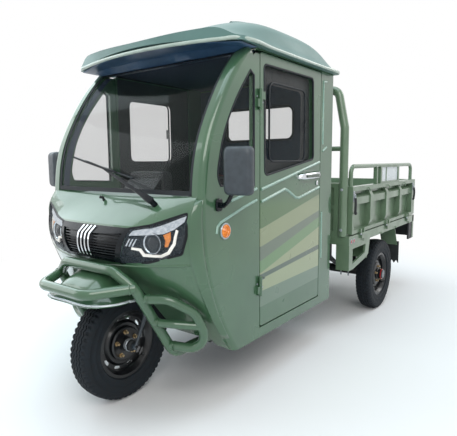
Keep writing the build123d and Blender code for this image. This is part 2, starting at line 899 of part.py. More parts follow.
def crown_points(half, low, crown):
    """Points across the roof's top, from one lip to the other."""
    near = [(half * across, low + (crown - low) * up) for across, up in crown_shape]
    return near + [(-x, z) for x, z in near[-2::-1]]


def roof_section(behind, crown, edge, arch):
    """One slice across the roof: arched underneath, upright lip, crowned above."""
    with BuildSketch(Plane.XZ.offset(-station(behind))) as roof_slice:
        with BuildLine():
            top = Spline(*crown_points(roof_half, edge + roof_lip, crown))
            Line(top @ 0, (roof_half, edge))
            under = Spline((roof_half, edge), (0, edge + arch), (-roof_half, edge))
            Line(under @ 1, top @ 1)
        make_face()
    return roof_slice.sketch


def cavity_section(behind, crown):
    """One slice of the hollow under the crown."""
    with BuildSketch(Plane.XZ.offset(-station(behind))) as hollow:
        with BuildLine():
            top = Spline(*crown_points(cavity_half, header_top - 10, crown - roof_wall))
            Polyline(top @ 0, (cavity_half, cavity_floor), (-cavity_half, cavity_floor), top @ 1)
        make_face()
    return hollow.sketch


with BuildPart() as roof_cavity:
    loft([cavity_section(*level) for level in roof_cavity_levels])
with BuildPart() as roof:
    loft([roof_section(*level) for level in roof_levels])
    with BuildSketch(Plane.XY.offset(cavity_floor)):
        with BuildLine():
            brow = ThreePointArc(
                (-roof_half, station(roof_corner_front)),
                (0, station(roof_front)),
                (roof_half, station(roof_corner_front)),
            )
            rear_y = station(roof_rear)
            Polyline(brow @ 1, (roof_half, rear_y), (-roof_half, rear_y), brow @ 0)
        make_face()
        fillet(vertices(), roof_corner)
    extrude(amount=clear_of_all, mode=Mode.INTERSECT)
    add_box(
        (-roof_seat, roof_seat),
        (station(roof_header_rear), station(roof_rear + 5)),
        (cavity_floor, header_top),
        mode=Mode.SUBTRACT,
    )
    add(roof_cavity.part, mode=Mode.SUBTRACT)
    add_box(
        (-screen_half, screen_half),
        (station(roof_header_front), station(roof_header_rear)),
        (screen_top, roof_edge_height + 45),
    )
roof.part.label = "roof"
export_step(roof.part, "parts/roof.step")

# ---------------------------------------------------------------- doors
door_window = side_points([(461, 1598), (979, 1602), (994, 1152), (469, 1071)])
window_corner = 28
door_glass_recess = 10
handle_height = 1062
handle_front = 800
handle_rear = 1045
handle_stand = 34
handle_slope = 22
handle_diameter = 16
rosette_radius = 15
rosette_height = 5


def add_door_window(low_x, thickness, mode=Mode.ADD):
    """The door window's outline as a plate."""
    with BuildSketch(Plane.YZ.offset(low_x)) as outline:
        with BuildLine():
            Polyline(*door_window, close=True)
        make_face()
        fillet(vertices(), window_corner)
    extrude(outline.sketch, amount=thickness, mode=mode)


with BuildPart() as left_door:
    add_box(side_span, (station(door_front), station(door_rear)), (door_bottom, door_top))
    fillet(edges().filter_by(Axis.X), door_corner)
    add_door_window(cab_inside, panel_thickness, mode=Mode.SUBTRACT)
    for groove in door_grooves:
        add_groove(groove)
    for height in hinge_heights:
        low_z = height + face_gap
        high_z = low_z + knuckle_length
        add_box(
            (cab_side, hinge_x + 3),
            (station(hinge_behind + 3), station(door_front + leaf_reach)),
            (low_z, high_z),
        )
        add_rod(
            (hinge_x, station(hinge_behind), low_z),
            (hinge_x, station(hinge_behind), high_z),
            knuckle_radius,
        )
        add_rod(
            (hinge_x, station(hinge_behind), low_z - bore_reach),
            (hinge_x, station(hinge_behind), high_z + bore_reach),
            pin_radius + running_clearance,
            mode=Mode.SUBTRACT,
        )

with BuildPart() as left_door_glass:
    add_door_window(cab_side - door_glass_recess - glass_thickness, glass_thickness)

with BuildPart() as left_door_handle:
    add_tube(
        [
            (cab_side, station(handle_front), handle_height),
            (cab_side + handle_stand, station(handle_front + handle_slope), handle_height),
            (cab_side + handle_stand, station(handle_rear - handle_slope), handle_height),
            (cab_side, station(handle_rear), handle_height),
        ],
        handle_diameter,
        12,
    )
    for place in (handle_front, handle_rear):
        with BuildSketch(Plane.YZ.offset(cab_side)):
            with Locations((station(place), handle_height)):
                Circle(rosette_radius)
        extrude(amount=rosette_height)
    add_box(
        (cab_inside, cab_side),
        (station(handle_front - 40), station(handle_rear + 40)),
        (handle_height - 40, handle_height + 40),
        mode=Mode.SUBTRACT,
    )

door_pieces = {"door": left_door, "door_glass": left_door_glass, "door_handle": left_door_handle}
for name, piece in door_pieces.items():
    left_part = piece.part
    right_part = mirror(left_part, about=Plane.YZ)
    left_part.label = f"left_{name}"
    right_part.label = f"right_{name}"
    export_step(left_part, f"parts/left_{name}.step")
    export_step(right_part, f"parts/right_{name}.step")

# ---------------------------------------------------------------- cab inside
seat_half = cab_inside - 95
seat_front = cab_rear - 450
seat_base_set_back = 30
seat_base_top = 600
cushion_height = 110
backrest_thickness = 95
backrest_gap = 5
back_top = 1080
seat_corner = 32
seat_edge = 20
wall_front_y = cab_rear_y - panel_thickness

with BuildPart() as seat_base:
    base_front_y = station(seat_front) + seat_base_set_back
    add_box((-seat_half, seat_half), (base_front_y, wall_front_y), (floor_top, seat_base_top))
seat_base.part.label = "seat_base"
export_step(seat_base.part, "parts/seat_base.step")

with BuildPart() as seat_cushion:
    add_box(
        (-seat_half, seat_half),
        (station(seat_front), wall_front_y - backrest_thickness - backrest_gap),
        (seat_base_top + face_gap, seat_base_top + cushion_height),
    )
    fillet(edges().filter_by(Axis.Z), seat_corner)
    fillet(edges().group_by(Axis.Z)[-1], seat_edge)
seat_cushion.part.label = "seat_cushion"
export_step(seat_cushion.part, "parts/seat_cushion.step")

with BuildPart() as seat_backrest:
    add_box(
        (-seat_half, seat_half),
        (wall_front_y - backrest_thickness, wall_front_y - face_gap),
        (seat_base_top + face_gap, back_top),
    )
    fillet(edges().filter_by(Axis.Z), seat_corner)
    fillet(edges().group_by(Axis.Z)[-1], seat_edge)
seat_backrest.part.label = "seat_backrest"
export_step(seat_backrest.part, "parts/seat_backrest.step")

dash_profile = side_points([
    (35, 990), (35, 900), (70, 850), (190, 850), (215, 900), (215, 960), (150, 995),
])
hood_profile = side_points([(120, 980), (215, 1000), (240, 1040), (225, 1085), (205, 1085), (130, 1010)])
hood_half = 110
with BuildPart() as dashboard:
    add_side_prism(dash_profile, (-screen_half, screen_half))
    add_side_prism(hood_profile, (-hood_half, hood_half))
dashboard.part.label = "dashboard"
export_step(dashboard.part, "parts/dashboard.step")

# ---------------------------------------------------------------- front fittings
main_tube = 46
guard_tube = 41
brace_tube = 36
bar_front = main_tube / 2 - front_overhang
leg_bend = 70
loop_bend = 74
brace_bend = 60
guard_reach = cab_side - 42
guard_bend = 0.19 * guard_reach
foot_height = front_rail_bottom + main_tube / 2 + 1
shoulder_point = (265, -142, 614)
leg_points = [
    (rail_x, rail_front, foot_height),
    (rail_x, 52, foot_height),
    shoulder_point,
    (168, -175, 684),
]
loop_points = [shoulder_point, (155, bar_front, 604)]
guard_root = 276


def towards_reach(share):
    """How far out a guard tube is, as a share of the way from its root to the guard's edge."""
    return guard_root + share * (guard_reach - guard_root)


guard_points = [
    (guard_root, -105, 560),
    (towards_reach(0.505), -58, 565),
    (towards_reach(0.889), 20, 500),
    (guard_reach, 66, 385),
    (towards_reach(0.759), 58, 320),
    (302, 25, 318),
]
brace_points = [(288, -55, 445), (towards_reach(0.481), -32, 448), (towards_reach(0.954), 45, 436)]

with BuildPart() as front_bumper:
    add_tube(place_all(leg_points) + place_all(leg_points[::-1], -1), main_tube, leg_bend)
    add_tube(place_all(loop_points) + place_all(loop_points[::-1], -1), main_tube, loop_bend)
    for side in (-1, 1):
        add_tube(place_all(guard_points, side), guard_tube, guard_bend)
        add_tube(place_all(brace_points, side), brace_tube, brace_bend)
    add(nose_mass.part, mode=Mode.SUBTRACT)
front_bumper.part.label = "front_bumper"
export_step(front_bumper.part, "parts/front_bumper.step")

mudguard_wall = 7
mudguard_back = -55
# height, half width, then how far behind the front axle at the nose and the flank
mudguard_levels = [
    (tyre_diameter + 10, 230, -302, -140),
    (585, 172, -272, -130),
    (625, 128, -226, -118),
    (662, 116, -156, -105),
    (690, 110, -140, -100),
]
# share of the half width, share of the way from flank to nose
bow_shape = [(1, 0), (0.93, 0.55), (0.7, 0.9), (0, 1)]


def mudguard_section(height, half, nose, flank, inset):
    """One level of the front mudguard: a blunt bowed nose closed by a straight back."""
    near = [
        ((half - inset) * across, station(flank + (nose + inset - flank) * along))
        for across, along in bow_shape
    ]
    with BuildSketch(Plane.XY.offset(height)) as level:
        with BuildLine():
            bow = Spline(*near, *[(-x, y) for x, y in near[-2::-1]])
            back_y = station(mudguard_back)
            Polyline(bow @ 1, (inset - half, back_y), (half - inset, back_y), bow @ 0)
        make_face()
    return level.sketch


with BuildPart() as mudguard_core:
    loft([
        mudguard_section(height - mudguard_wall, *places, mudguard_wall)
        for height, *places in mudguard_levels
    ])
with BuildPart() as front_mudguard:
    loft([mudguard_section(*level, 0) for level in mudguard_levels])
    add(mudguard_core.part, mode=Mode.SUBTRACT)
    add(nose_mass.part, mode=Mode.SUBTRACT)
    add_box(
        (-cab_side, cab_side),
        (station(mudguard_back - 45), station(0)),
        (500, 800),
        mode=Mode.SUBTRACT,
    )
front_mudguard.part.label = "front_mudguard"
export_step(front_mudguard.part, "parts/front_mudguard.step")

marker_behind = 151
marker_height = 845
marker_radius = 36
marker_depth = 16
with BuildPart() as side_markers:
    with BuildSketch(Plane.YZ.offset(cab_side)):
        with Locations((station(marker_behind), marker_height)):
            Circle(marker_radius)
    extrude(amount=marker_depth)
    fillet(edges().group_by(Axis.X)[-1], 10)
    mirror(about=Plane.YZ)
side_markers.part.label = "side_markers"
export_step(side_markers.part, "parts/side_markers.step")

mirror_width = 108
mirror_depth = 44
mirror_length = 190
mirror_x = cab_side + 118
mirror_behind = 90
mirror_bottom = 1011
mirror_toe = 18
stem_behind = 104
stem_height = 965
stem_diameter = 18
stem_bend = 14
stem_foot_size = (44, 60)
with BuildPart() as mirrors:
    add_tube(
        place_all([
            (cab_side + 4, stem_behind, stem_height),
            (cab_side + 30, stem_behind, stem_height),
            (cab_side + 52, mirror_behind, stem_height + 40),
            (mirror_x - 20, mirror_behind, mirror_bottom + 25),
        ]),
        stem_diameter,
        stem_bend,
    )
    with BuildSketch(Plane.YZ.offset(cab_side)):
        with Locations((station(stem_behind), stem_height)):
            RectangleRounded(*stem_foot_size, 14)
    extrude(amount=12)
    mirror_plane = Plane(
        origin=(mirror_x, station(mirror_behind), mirror_bottom),
        x_dir=(cos(radians(mirror_toe)), sin(radians(mirror_toe)), 0),
        z_dir=(0, 0, 1),
    )
    with BuildSketch(mirror_plane):
        RectangleRounded(mirror_width, mirror_depth, 16)
    extrude(amount=mirror_length)
    fillet(faces().sort_by(Axis.Z)[-1].edges(), 14)
    mirror(about=Plane.YZ)
mirrors.part.label = "mirrors"
export_step(mirrors.part, "parts/mirrors.step")

wiper_route = place_all([(290, -20, 952), (290, -46, 990), (-95, 4, 1117)])
blade_ends = place_all([(-345, 19, 1171), (125, -4, 1072)])
with BuildPart() as wiper:
    add_rod(wiper_route[0], wiper_route[1], 13)
    add_rod(wiper_route[1], wiper_route[2], 6)
    add_rod(*blade_ends, 7)
    add(nose_mass.part, mode=Mode.SUBTRACT)
wiper.part.label = "wiper"
export_step(wiper.part, "parts/wiper.step")

# ---------------------------------------------------------------- bed
rail_face = 40
bearer_height = 48
bearer_count = 5
plate_thickness = bed_rail_height - bearer_height
ledge_drop = 2
board_sheet = 8
board_bottom = bed_floor_top + moving_gap
board_top = board_bottom + board_height
board_rail = 30
board_foot = 24
board_end_gap = 10
headboard_thickness = 34
board_hinge_z = bed_floor_top - 5
board_hinge_x = bed_side + board_hinge_out
leaf_drop = 32
hinge_half = 20
board_front_y = bed_front_y + headboard_thickness + board_end_gap
board_rear_y = bed_rear_y - board_thickness - board_end_gap
board_run = board_rear_y - board_front_y
side_hinge_places = [board_front_y + board_run * share for share in (0.12, 0.5, 0.88)]
tail_hinge_places = [bed_side * share for share in (-0.72, 0, 0.72)]
tail_hinge_y = bed_rear_y + board_hinge_out
tail_half = bed_side - 2


def hinge_spot(place, along_y):
    """A board hinge's place on the bed's side, or on its tail."""
    return (board_hinge_x, place, board_hinge_z) if along_y else (place, tail_hinge_y, board_hinge_z)


def hinge_run(place, low, high, along_y):
    """Two ends along a board hinge's axis."""
    return hinge_spot(place + low, along_y), hinge_spot(place + high, along_y)


def add_leaf(place, low, high, reach, z_span, along_y):
    """A flat hinge leaf between the bed's face and the hinge's axis."""
    run = (place + low, place + high)
    if along_y:
        add_box((bed_side, board_hinge_x + reach), run, z_span)
    else:
        add_box(run, (bed_rear_y, tail_hinge_y + reach), z_span)


def add_hinge_base(place, along_y):
    """The bed's half of a board hinge: leaf, middle knuckle and pin."""
    add_leaf(place, -hinge_half, hinge_half, 2, (board_hinge_z - leaf_drop, board_hinge_z), along_y)
    add_rod(*hinge_run(place, -hinge_half, hinge_half, along_y), knuckle_radius)
    add_rod(*hinge_run(place, -2 * hinge_half, 2 * hinge_half, along_y), pin_radius)


def add_hinge_leaves(place, along_y):
    """The board's half of the hinge: a bored knuckle and leaf at each end of the pin."""
    near = hinge_half + face_gap
    far = 2 * hinge_half - 2
    for low, high in ((-far, -near), (near, far)):
        add_leaf(place, low, high, 0, (board_hinge_z, board_bottom + board_foot), along_y)
        add_rod(*hinge_run(place, low, high, along_y), knuckle_radius)
        bore_run = hinge_run(place, low - bore_reach, high + bore_reach, along_y)
        add_rod(*bore_run, pin_radius + running_clearance, mode=Mode.SUBTRACT)


with BuildPart() as bed_floor:
    deck_x = (-bed_side + board_thickness + ledge_drop, bed_side - board_thickness - ledge_drop)
    deck_y = (bed_front_y + headboard_thickness + ledge_drop, bed_rear_y - board_thickness - ledge_drop)
    ledge_top = bed_floor_top - ledge_drop
    add_box((-bed_side, bed_side), (bed_front_y, bed_rear_y), (bed_floor_top - plate_thickness, ledge_top))
    add_box(deck_x, deck_y, (ledge_top, bed_floor_top))
    for low_x in (-bed_side, bed_side - rail_face):
        add_box((low_x, low_x + rail_face), (bed_front_y, bed_rear_y), (bed_rail_bottom, ledge_top))
    for index in range(bearer_count):
        low_y = bed_front_y + (bed_length - rail_face) * index / (bearer_count - 1)
        add_box((-bed_side, bed_side), (low_y, low_y + rail_face), (bed_rail_bottom, ledge_top))
    for place in side_hinge_places:
        add_hinge_base(place, True)
    mirror(about=Plane.YZ)
    for place in tail_hinge_places:
        add_hinge_base(place, False)
bed_floor.part.label = "bed_floor"
export_step(bed_floor.part, "parts/bed_floor.step")

rib_count = 5
rib_width = 50
post_width = 34
guard_diameter = 28
guard_inset = 20
guard_bend_radius = 50
guard_top = board_top + guard_height
belt_low = 855
belt_high = 915
board_span_x = (bed_side - board_thickness, bed_side)
belt_profile = [
    (board_span_x[0], belt_low),
    (bed_side - 8, belt_low),
    (bed_side - 8, belt_high - 12),
    (board_span_x[0] + 12, belt_high + 8),
    (board_span_x[0], belt_high + 8),
]
rib_profile = [
    (board_span_x[0], board_bottom),
    (bed_side - 15, board_bottom + 26),
    (bed_side - 1, board_bottom + 62),
    (bed_side - 1, belt_high - 8),
    (bed_side - 21, board_top - board_rail),
    (board_span_x[0], board_top - board_rail),
]

with BuildPart() as left_side_board:
    board_span_y = (board_front_y, board_rear_y)
    add_box((board_span_x[0], board_span_x[0] + board_sheet), board_span_y, (board_bottom, board_top))
    add_box(board_span_x, board_span_y, (board_bottom, board_bottom + board_foot))
    add_box(board_span_x, board_span_y, (board_top - board_rail, board_top))
    add_front_prism(belt_profile, board_span_y)
    for low_y in (board_front_y, board_rear_y - post_width):
        add_box(board_span_x, (low_y, low_y + post_width), (board_bottom, board_top))
    for index in range(1, rib_count - 1):
        middle_y = board_front_y + post_width / 2 + (board_run - post_width) * index / (rib_count - 1)
        add_front_prism(rib_profile, (middle_y - rib_width / 2, middle_y + rib_width / 2))
    guard_x = bed_side - board_thickness / 2
    guard_z = guard_top - guard_diameter / 2
    socket_z = board_top - 10
    add_tube(
        [
            (guard_x, board_front_y + guard_inset, socket_z),
            (guard_x, board_front_y + guard_inset, guard_z),
            (guard_x, board_rear_y - guard_inset, guard_z),
            (guard_x, board_rear_y - guard_inset, socket_z),
        ],
        guard_diameter,
        guard_bend_radius,
    )
    middle_y = (board_front_y + board_rear_y) / 2
    add_rod((guard_x, middle_y, socket_z), (guard_x, middle_y, guard_z), guard_diameter / 2 - 2)
    for place in side_hinge_places:
        add_hinge_leaves(place, True)
left_board_part = left_side_board.part
right_board_part = mirror(left_board_part, about=Plane.YZ)
left_board_part.label = "left_side_board"
right_board_part.label = "right_side_board"
export_step(left_board_part, "parts/left_side_board.step")
export_step(right_board_part, "parts/right_side_board.step")

with BuildPart() as tailgate:
    tail_span_x = (-tail_half, tail_half)
    tail_span_y = (bed_rear_y - board_thickness, bed_rear_y)
    add_box(tail_span_x, (tail_span_y[0], tail_span_y[0] + board_sheet), (board_bottom, board_top))
    for low_z in (board_bottom, belt_low, board_top - board_rail):
        add_box(tail_span_x, tail_span_y, (low_z, low_z + board_rail))
    for index in range(rib_count):
        low_x = -tail_half + (2 * tail_half - post_width) * index / (rib_count - 1)
        add_box((low_x, low_x + post_width), tail_span_y, (board_bottom, board_top))
    for place in tail_hinge_places:
        add_hinge_leaves(place, False)
tailgate.part.label = "tailgate"
export_step(tailgate.part, "parts/tailgate.step")

headboard_top = 1000
headboard_sheet_set = 12
hoop_tube = 54
hoop_x = bed_side - 50
hoop_shoulder_x = bed_side - 97
hoop_y = bed_front_y + 7
hoop_shoulder_z = 1350
hoop_top = 1612
hoop_bend = 55
crossbar_z = 1220
crossbar_radius = 15
with BuildPart() as headboard:
    half = hoop_x - hoop_tube / 2 - face_gap
    span_y = (bed_front_y, bed_front_y + headboard_thickness)
    sheet_y = bed_front_y + headboard_sheet_set
    foot_z = bed_floor_top - ledge_drop
    add_box((-half, half), (sheet_y, sheet_y + board_sheet), (foot_z, headboard_top))
    for low_z in (foot_z, (foot_z + headboard_top) / 2, headboard_top - board_rail):
        add_box((-half, half), span_y, (low_z, low_z + board_rail))
    for index in range(rib_count):
        low_x = -half + (2 * half - post_width) * index / (rib_count - 1)
        add_box((low_x, low_x + post_width), span_y, (foot_z, headboard_top))
headboard.part.label = "headboard"
export_step(headboard.part, "parts/headboard.step")

with BuildPart() as headboard_hoop:
    hoop_route = [
        (hoop_x, hoop_y, bed_floor_top - ledge_drop),
        (hoop_x, hoop_y, hoop_shoulder_z),
        (hoop_shoulder_x, hoop_y, hoop_top - hoop_tube / 2),
    ]
    add_tube(hoop_route + [(-x, y, z) for x, y, z in hoop_route[::-1]], hoop_tube, hoop_bend)
    add_rod((-hoop_x, hoop_y, crossbar_z), (hoop_x, hoop_y, crossbar_z), crossbar_radius)
headboard_hoop.part.label = "headboard_hoop"
export_step(headboard_hoop.part, "parts/headboard_hoop.step")

guard_plate = 14
guard_front = bed_front + 5
guard_flange = 90
guard_outline = [(0, 0), (375, 0), (350, -108), (290, -130), (70, -168), (0, -168)]
guard_window = [(60, -30), (298, -30), (280, -88), (60, -130)]


def guard_points_at(pairs):
    """(distance behind the guard's front, height above the bed rail's foot) pairs."""
    return side_points([(guard_front + behind, bed_rail_bottom + rise) for behind, rise in pairs])


with BuildPart() as under_bed_guards:
    add_side_prism(guard_points_at(guard_outline), (bed_side - guard_plate, bed_side))
    add_side_prism(
        guard_points_at(guard_window),
        (bed_side - guard_plate - bore_reach, bed_side + bore_reach),
        mode=Mode.SUBTRACT,
    )
    add_box(
        (bed_side - guard_flange, bed_side),
        (station(guard_front), station(guard_front) + guard_plate),
        (bed_rail_bottom - 168, bed_rail_bottom),
    )
    mirror(about=Plane.YZ)
under_bed_guards.part.label = "under_bed_guards"
export_step(under_bed_guards.part, "parts/under_bed_guards.step")

arch_sheet = 5
fender_inside = rear_track / 2 - 70
fender_outside = bed_side - guard_plate - 2
fender_front_foot = 455
fender_rear_foot = 440
arch_low = bed_rail_bottom - arch_sheet
fender_under = [(-345, fender_front_foot), (-285, arch_low), (290, arch_low), (370, fender_rear_foot)]
fender_over = [
    (370 + arch_sheet, fender_rear_foot + 2),
    (294, bed_rail_bottom),
    (-290, bed_rail_bottom),
    (-345 - arch_sheet, fender_front_foot + 2),
]
with BuildPart() as rear_mudguards:
    fender_outline = [(wheelbase + along, height) for along, height in fender_under + fender_over]
    add_side_prism(side_points(fender_outline), (fender_inside, fender_outside))
    mirror(about=Plane.YZ)
rear_mudguards.part.label = "rear_mudguards"
export_step(rear_mudguards.part, "parts/rear_mudguards.step")

flap_thickness = 6
flap_teeth = 4
flap_side = bed_side - 4
flap_bottom = 285
flap_top = 470
tooth_height = 25
with BuildPart() as mud_flaps:
    flap_front_y = station(wheelbase + 370) + arch_sheet + face_gap
    flap_span_y = (flap_front_y, flap_front_y + flap_thickness)
    add_box((fender_inside, flap_side), flap_span_y, (flap_bottom, flap_top))
    tooth = (flap_side - fender_inside) / flap_teeth
    for index in range(flap_teeth):
        low_x = fender_inside + index * tooth
        add_front_prism(
            [
                (low_x, flap_bottom - bore_reach),
                (low_x + tooth, flap_bottom - bore_reach),
                (low_x + tooth / 2, flap_bottom + tooth_height),
            ],
            (flap_span_y[0] - bore_reach, flap_span_y[1] + bore_reach),
            mode=Mode.SUBTRACT,
        )
    mirror(about=Plane.YZ)
mud_flaps.part.label = "mud_flaps"
export_step(mud_flaps.part, "parts/mud_flaps.step")

tail_panel_half = bed_side - 4
tail_panel_low = 470
tail_panel_thickness = 10
tail_flange = 14
tail_flange_low = 450
plate_bolt_spacing = 120
plate_bolt_height = 545
plate_bolt_radius = 3.5
with BuildPart() as tail_panel:
    panel_front_y = bed_rear_y - tail_panel_inset
    add_box(
        (-tail_panel_half, tail_panel_half),
        (panel_front_y, panel_front_y + tail_panel_thickness),
        (tail_panel_low, bed_rail_bottom),
    )
    for low_x in (-tail_panel_half, tail_panel_half - tail_flange):
        add_box(
            (low_x, low_x + tail_flange),
            (bed_rear_y - 130, bed_rear_y - 30),
            (tail_flange_low, bed_rail_bottom),
        )
    with BuildSketch(Plane.XZ.offset(-panel_front_y)):
        with Locations((0, plate_bolt_height)):
            with GridLocations(plate_bolt_spacing, 0, 2, 1):
                Circle(plate_bolt_radius)
    extrude(amount=tail_panel_thickness, both=True, mode=Mode.SUBTRACT)
tail_panel.part.label = "tail_panel"
export_step(tail_panel.part, "parts/tail_panel.step")

tail_lamp_x = (bed_side - 230, bed_side - 30)
tail_lamp_height = (500, 570)
with BuildPart() as tail_lamps:
    add_box(tail_lamp_x, (bed_rear_y - 30, bed_rear_y - ledge_drop - 2), tail_lamp_height)
    fillet(edges().filter_by(Axis.Y), 10)
    fillet(faces().sort_by(Axis.Y)[-1].edges(), 6)
    mirror(about=Plane.YZ)
tail_lamps.part.label = "tail_lamps"
export_step(tail_lamps.part, "parts/tail_lamps.step")
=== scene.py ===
"""Adds the finished surfaces and fittings of an electric cargo tricycle round its CAD frame."""

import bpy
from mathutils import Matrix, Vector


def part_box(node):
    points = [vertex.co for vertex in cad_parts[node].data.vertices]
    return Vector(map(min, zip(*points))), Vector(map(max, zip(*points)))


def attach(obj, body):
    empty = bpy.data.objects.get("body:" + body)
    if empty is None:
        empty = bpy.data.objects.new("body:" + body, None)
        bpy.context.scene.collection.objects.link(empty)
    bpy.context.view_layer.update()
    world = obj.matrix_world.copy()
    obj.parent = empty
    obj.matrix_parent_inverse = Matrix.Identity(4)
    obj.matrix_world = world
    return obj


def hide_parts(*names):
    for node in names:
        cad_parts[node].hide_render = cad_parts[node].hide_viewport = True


bl_info = {
    "name": "Cargo Tricycle Finish",
    "version": (1, 0, 0),
    "blender": (4, 5, 0),
    "location": "3D Viewport > Sidebar > Tricycle",
    "description": "Builds the tyres, lamps, seals, seat, bed fittings and paint of a cargo tricycle",
    "category": "Object",
}

from math import atan2, ceil, cos, exp, hypot, pi, radians, sin, sqrt

import bmesh
import bpy
from mathutils import Matrix, Vector
from mathutils.bvhtree import BVHTree

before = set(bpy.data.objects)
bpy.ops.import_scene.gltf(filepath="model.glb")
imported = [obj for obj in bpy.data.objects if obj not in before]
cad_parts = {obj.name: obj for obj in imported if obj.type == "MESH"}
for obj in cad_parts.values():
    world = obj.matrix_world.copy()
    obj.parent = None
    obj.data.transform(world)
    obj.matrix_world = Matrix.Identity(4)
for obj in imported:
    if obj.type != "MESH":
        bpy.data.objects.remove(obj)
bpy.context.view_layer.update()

MM = 0.001
FRONT_AXLE_Y = sum(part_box("front_rim")[i][1] for i in (0, 1)) / 2
REAR_AXLE_Y = sum(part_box("rear_left_rim")[i][1] for i in (0, 1)) / 2
AXLE_Z = sum(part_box("front_rim")[i][2] for i in (0, 1)) / 2
TYRE_RADIUS = (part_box("front_tyre")[1][2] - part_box("front_tyre")[0][2]) / 2
CAB_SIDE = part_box("cab_side_frames")[1][0]
BED_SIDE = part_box("tail_panel")[1][0] + 4 * MM
BED_FRONT_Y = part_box("headboard")[0][1]
BED_REAR_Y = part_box("tailgate")[1][1] - 20 * MM
SIDES = ((1, "left"), (-1, "right"))


def at(x, behind, z):
    """A point from millimetres: across, behind the front axle, above the ground."""
    return Vector((x * MM, FRONT_AXLE_Y + behind * MM, z * MM))


def mm(x, y, z):
    """A step from millimetres."""
    return Vector((x * MM, y * MM, z * MM))


def upright(y, pairs):
    """Flat (x, z) pairs stood up on a plane at y."""
    return [Vector((x, y, z)) for x, z in pairs]


def corners(x0, z0, x1, z1, margin=0):
    """The corners of a flat rectangle, drawn in by a margin."""
    x0, z0, x1, z1 = x0 + margin, z0 + margin, x1 - margin, z1 - margin
    return [(x0, z0), (x1, z0), (x1, z1), (x0, z1)]


def turns(count):
    """Evenly spaced angles of one turn."""
    return [2 * pi * k / count for k in range(count)]


def tree_of(*node_names):
    """The faces of some CAD nodes, ready for finding points on them."""
    points, faces = [], []
    for node_name in node_names:
        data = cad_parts[node_name].data
        faces += later([f.vertices for f in data.polygons], len(points))
        points += [v.co.copy() for v in data.vertices]
    return BVHTree.FromPolygons(points, faces)


# ---------------------------------------------------------------- mesh helpers
def place(piece, finish_name, body="chassis", smooth=40):
    """Links a new piece, gives it its finish, and lets it ride on a body."""
    bpy.context.scene.collection.objects.link(piece)
    piece.data.materials.append(finish(finish_name))
    if piece.type == "MESH" and smooth:
        piece.data.shade_smooth()
        piece.data.set_sharp_from_angle(angle=radians(smooth))
    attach(piece, body)
    return piece


def mesh_piece(name, points, faces, finish_name, body="chassis", bevel=0.0, smooth=40):
    """A piece from points and faces, with softened edges where bevel is given."""
    data = bpy.data.meshes.new(name)
    data.from_pydata([tuple(p) for p in points], [], faces)
    work = bmesh.new()
    work.from_mesh(data)
    bmesh.ops.remove_doubles(work, verts=work.verts, dist=1e-5)
    bmesh.ops.recalc_face_normals(work, faces=work.faces)
    work.to_mesh(data)
    work.free()
    piece = bpy.data.objects.new(name, data)
    place(piece, finish_name, body, smooth=smooth)
    return soften(piece, bevel, 35)


def soften(piece, width, degrees):
    """Rounds the edges that turn by more than some degrees."""
    if width:
        edges = piece.modifiers.new("softened edges", "BEVEL")
        edges.width = width
        edges.segments = 2
        edges.limit_method = "ANGLE"
        edges.angle_limit = radians(degrees)
    return piece


def later(faces, first):
    """Faces whose points come after the first ones."""
    return [tuple(first + i for i in face) for face in faces]


def sheet(name, rows, finish_name, thickness=0.0, **how):
    """An open skin through equal rows of points, with a thickness where one is given."""
    faces = ring_faces(len(rows), len(rows[0]), closed_columns=False)
    piece = mesh_piece(name, [p for row in rows for p in row], faces, finish_name, **how)
    if thickness:
        piece.modifiers.new("thick", "SOLIDIFY").thickness = thickness
    return piece


def ring_faces(rows, columns, closed_rows=False, closed_columns=True, caps=False):
    """Faces of a grid of points that may close on itself either way."""
    faces = []
    for i in range(rows if closed_rows else rows - 1):
        for j in range(columns if closed_columns else columns - 1):
            a, b = i * columns + j, i * columns + (j + 1) % columns
            c, d = ((i + 1) % rows) * columns + (j + 1) % columns, ((i + 1) % rows) * columns + j
            faces.append((a, b, c, d))
    if caps:
        faces.append(tuple(range(columns))[::-1])
        faces.append(tuple((rows - 1) * columns + j for j in range(columns)))
    return faces


def loft(name, rings, finish_name, body="chassis", closed=False, **how):
    """A skin through equal rings of points, capped unless the rings close on themselves."""
    points = [p for ring in rings for p in ring]
    faces = ring_faces(len(rings), len(rings[0]), closed_rows=closed, caps=not closed)
    return mesh_piece(name, points, faces, finish_name, body, **how)


def lathe(name, profile, centre, axis, finish_name, body="chassis", steps=48, **how):
    """Turns (radius, distance along the axis) pairs in millimetres round an axis through centre."""
    turn = Vector((0, 0, 1)).rotation_difference(Vector(axis)).to_matrix()
    rings = []
    for radius, along in profile:
        rings.append(
            [Vector(centre) + turn @ mm(radius * cos(a), radius * sin(a), along) for a in turns(steps)]
        )
    return loft(name, rings, finish_name, body, **how)


def plate(name, outline, push, finish_name, body="chassis", bevel=1.5 * MM, **how):
    """A flat outline of 3-D points pushed out into a plate."""
    moved = [Vector(p) + Vector(push) for p in outline]
    return loft(name, [outline, moved], finish_name, body, bevel=bevel, **how)


def block(name, low, high, finish_name, body="chassis", bevel=3 * MM, **how):
    """A small moulded or folded block with softened edges."""
    (x0, y0, z0), (x1, y1, z1) = low, high
    outline = [(x, y, z0) for x, y in corners(x0, y0, x1, y1)]
    return plate(name, outline, (0, 0, z1 - z0), finish_name, body, bevel, **how)


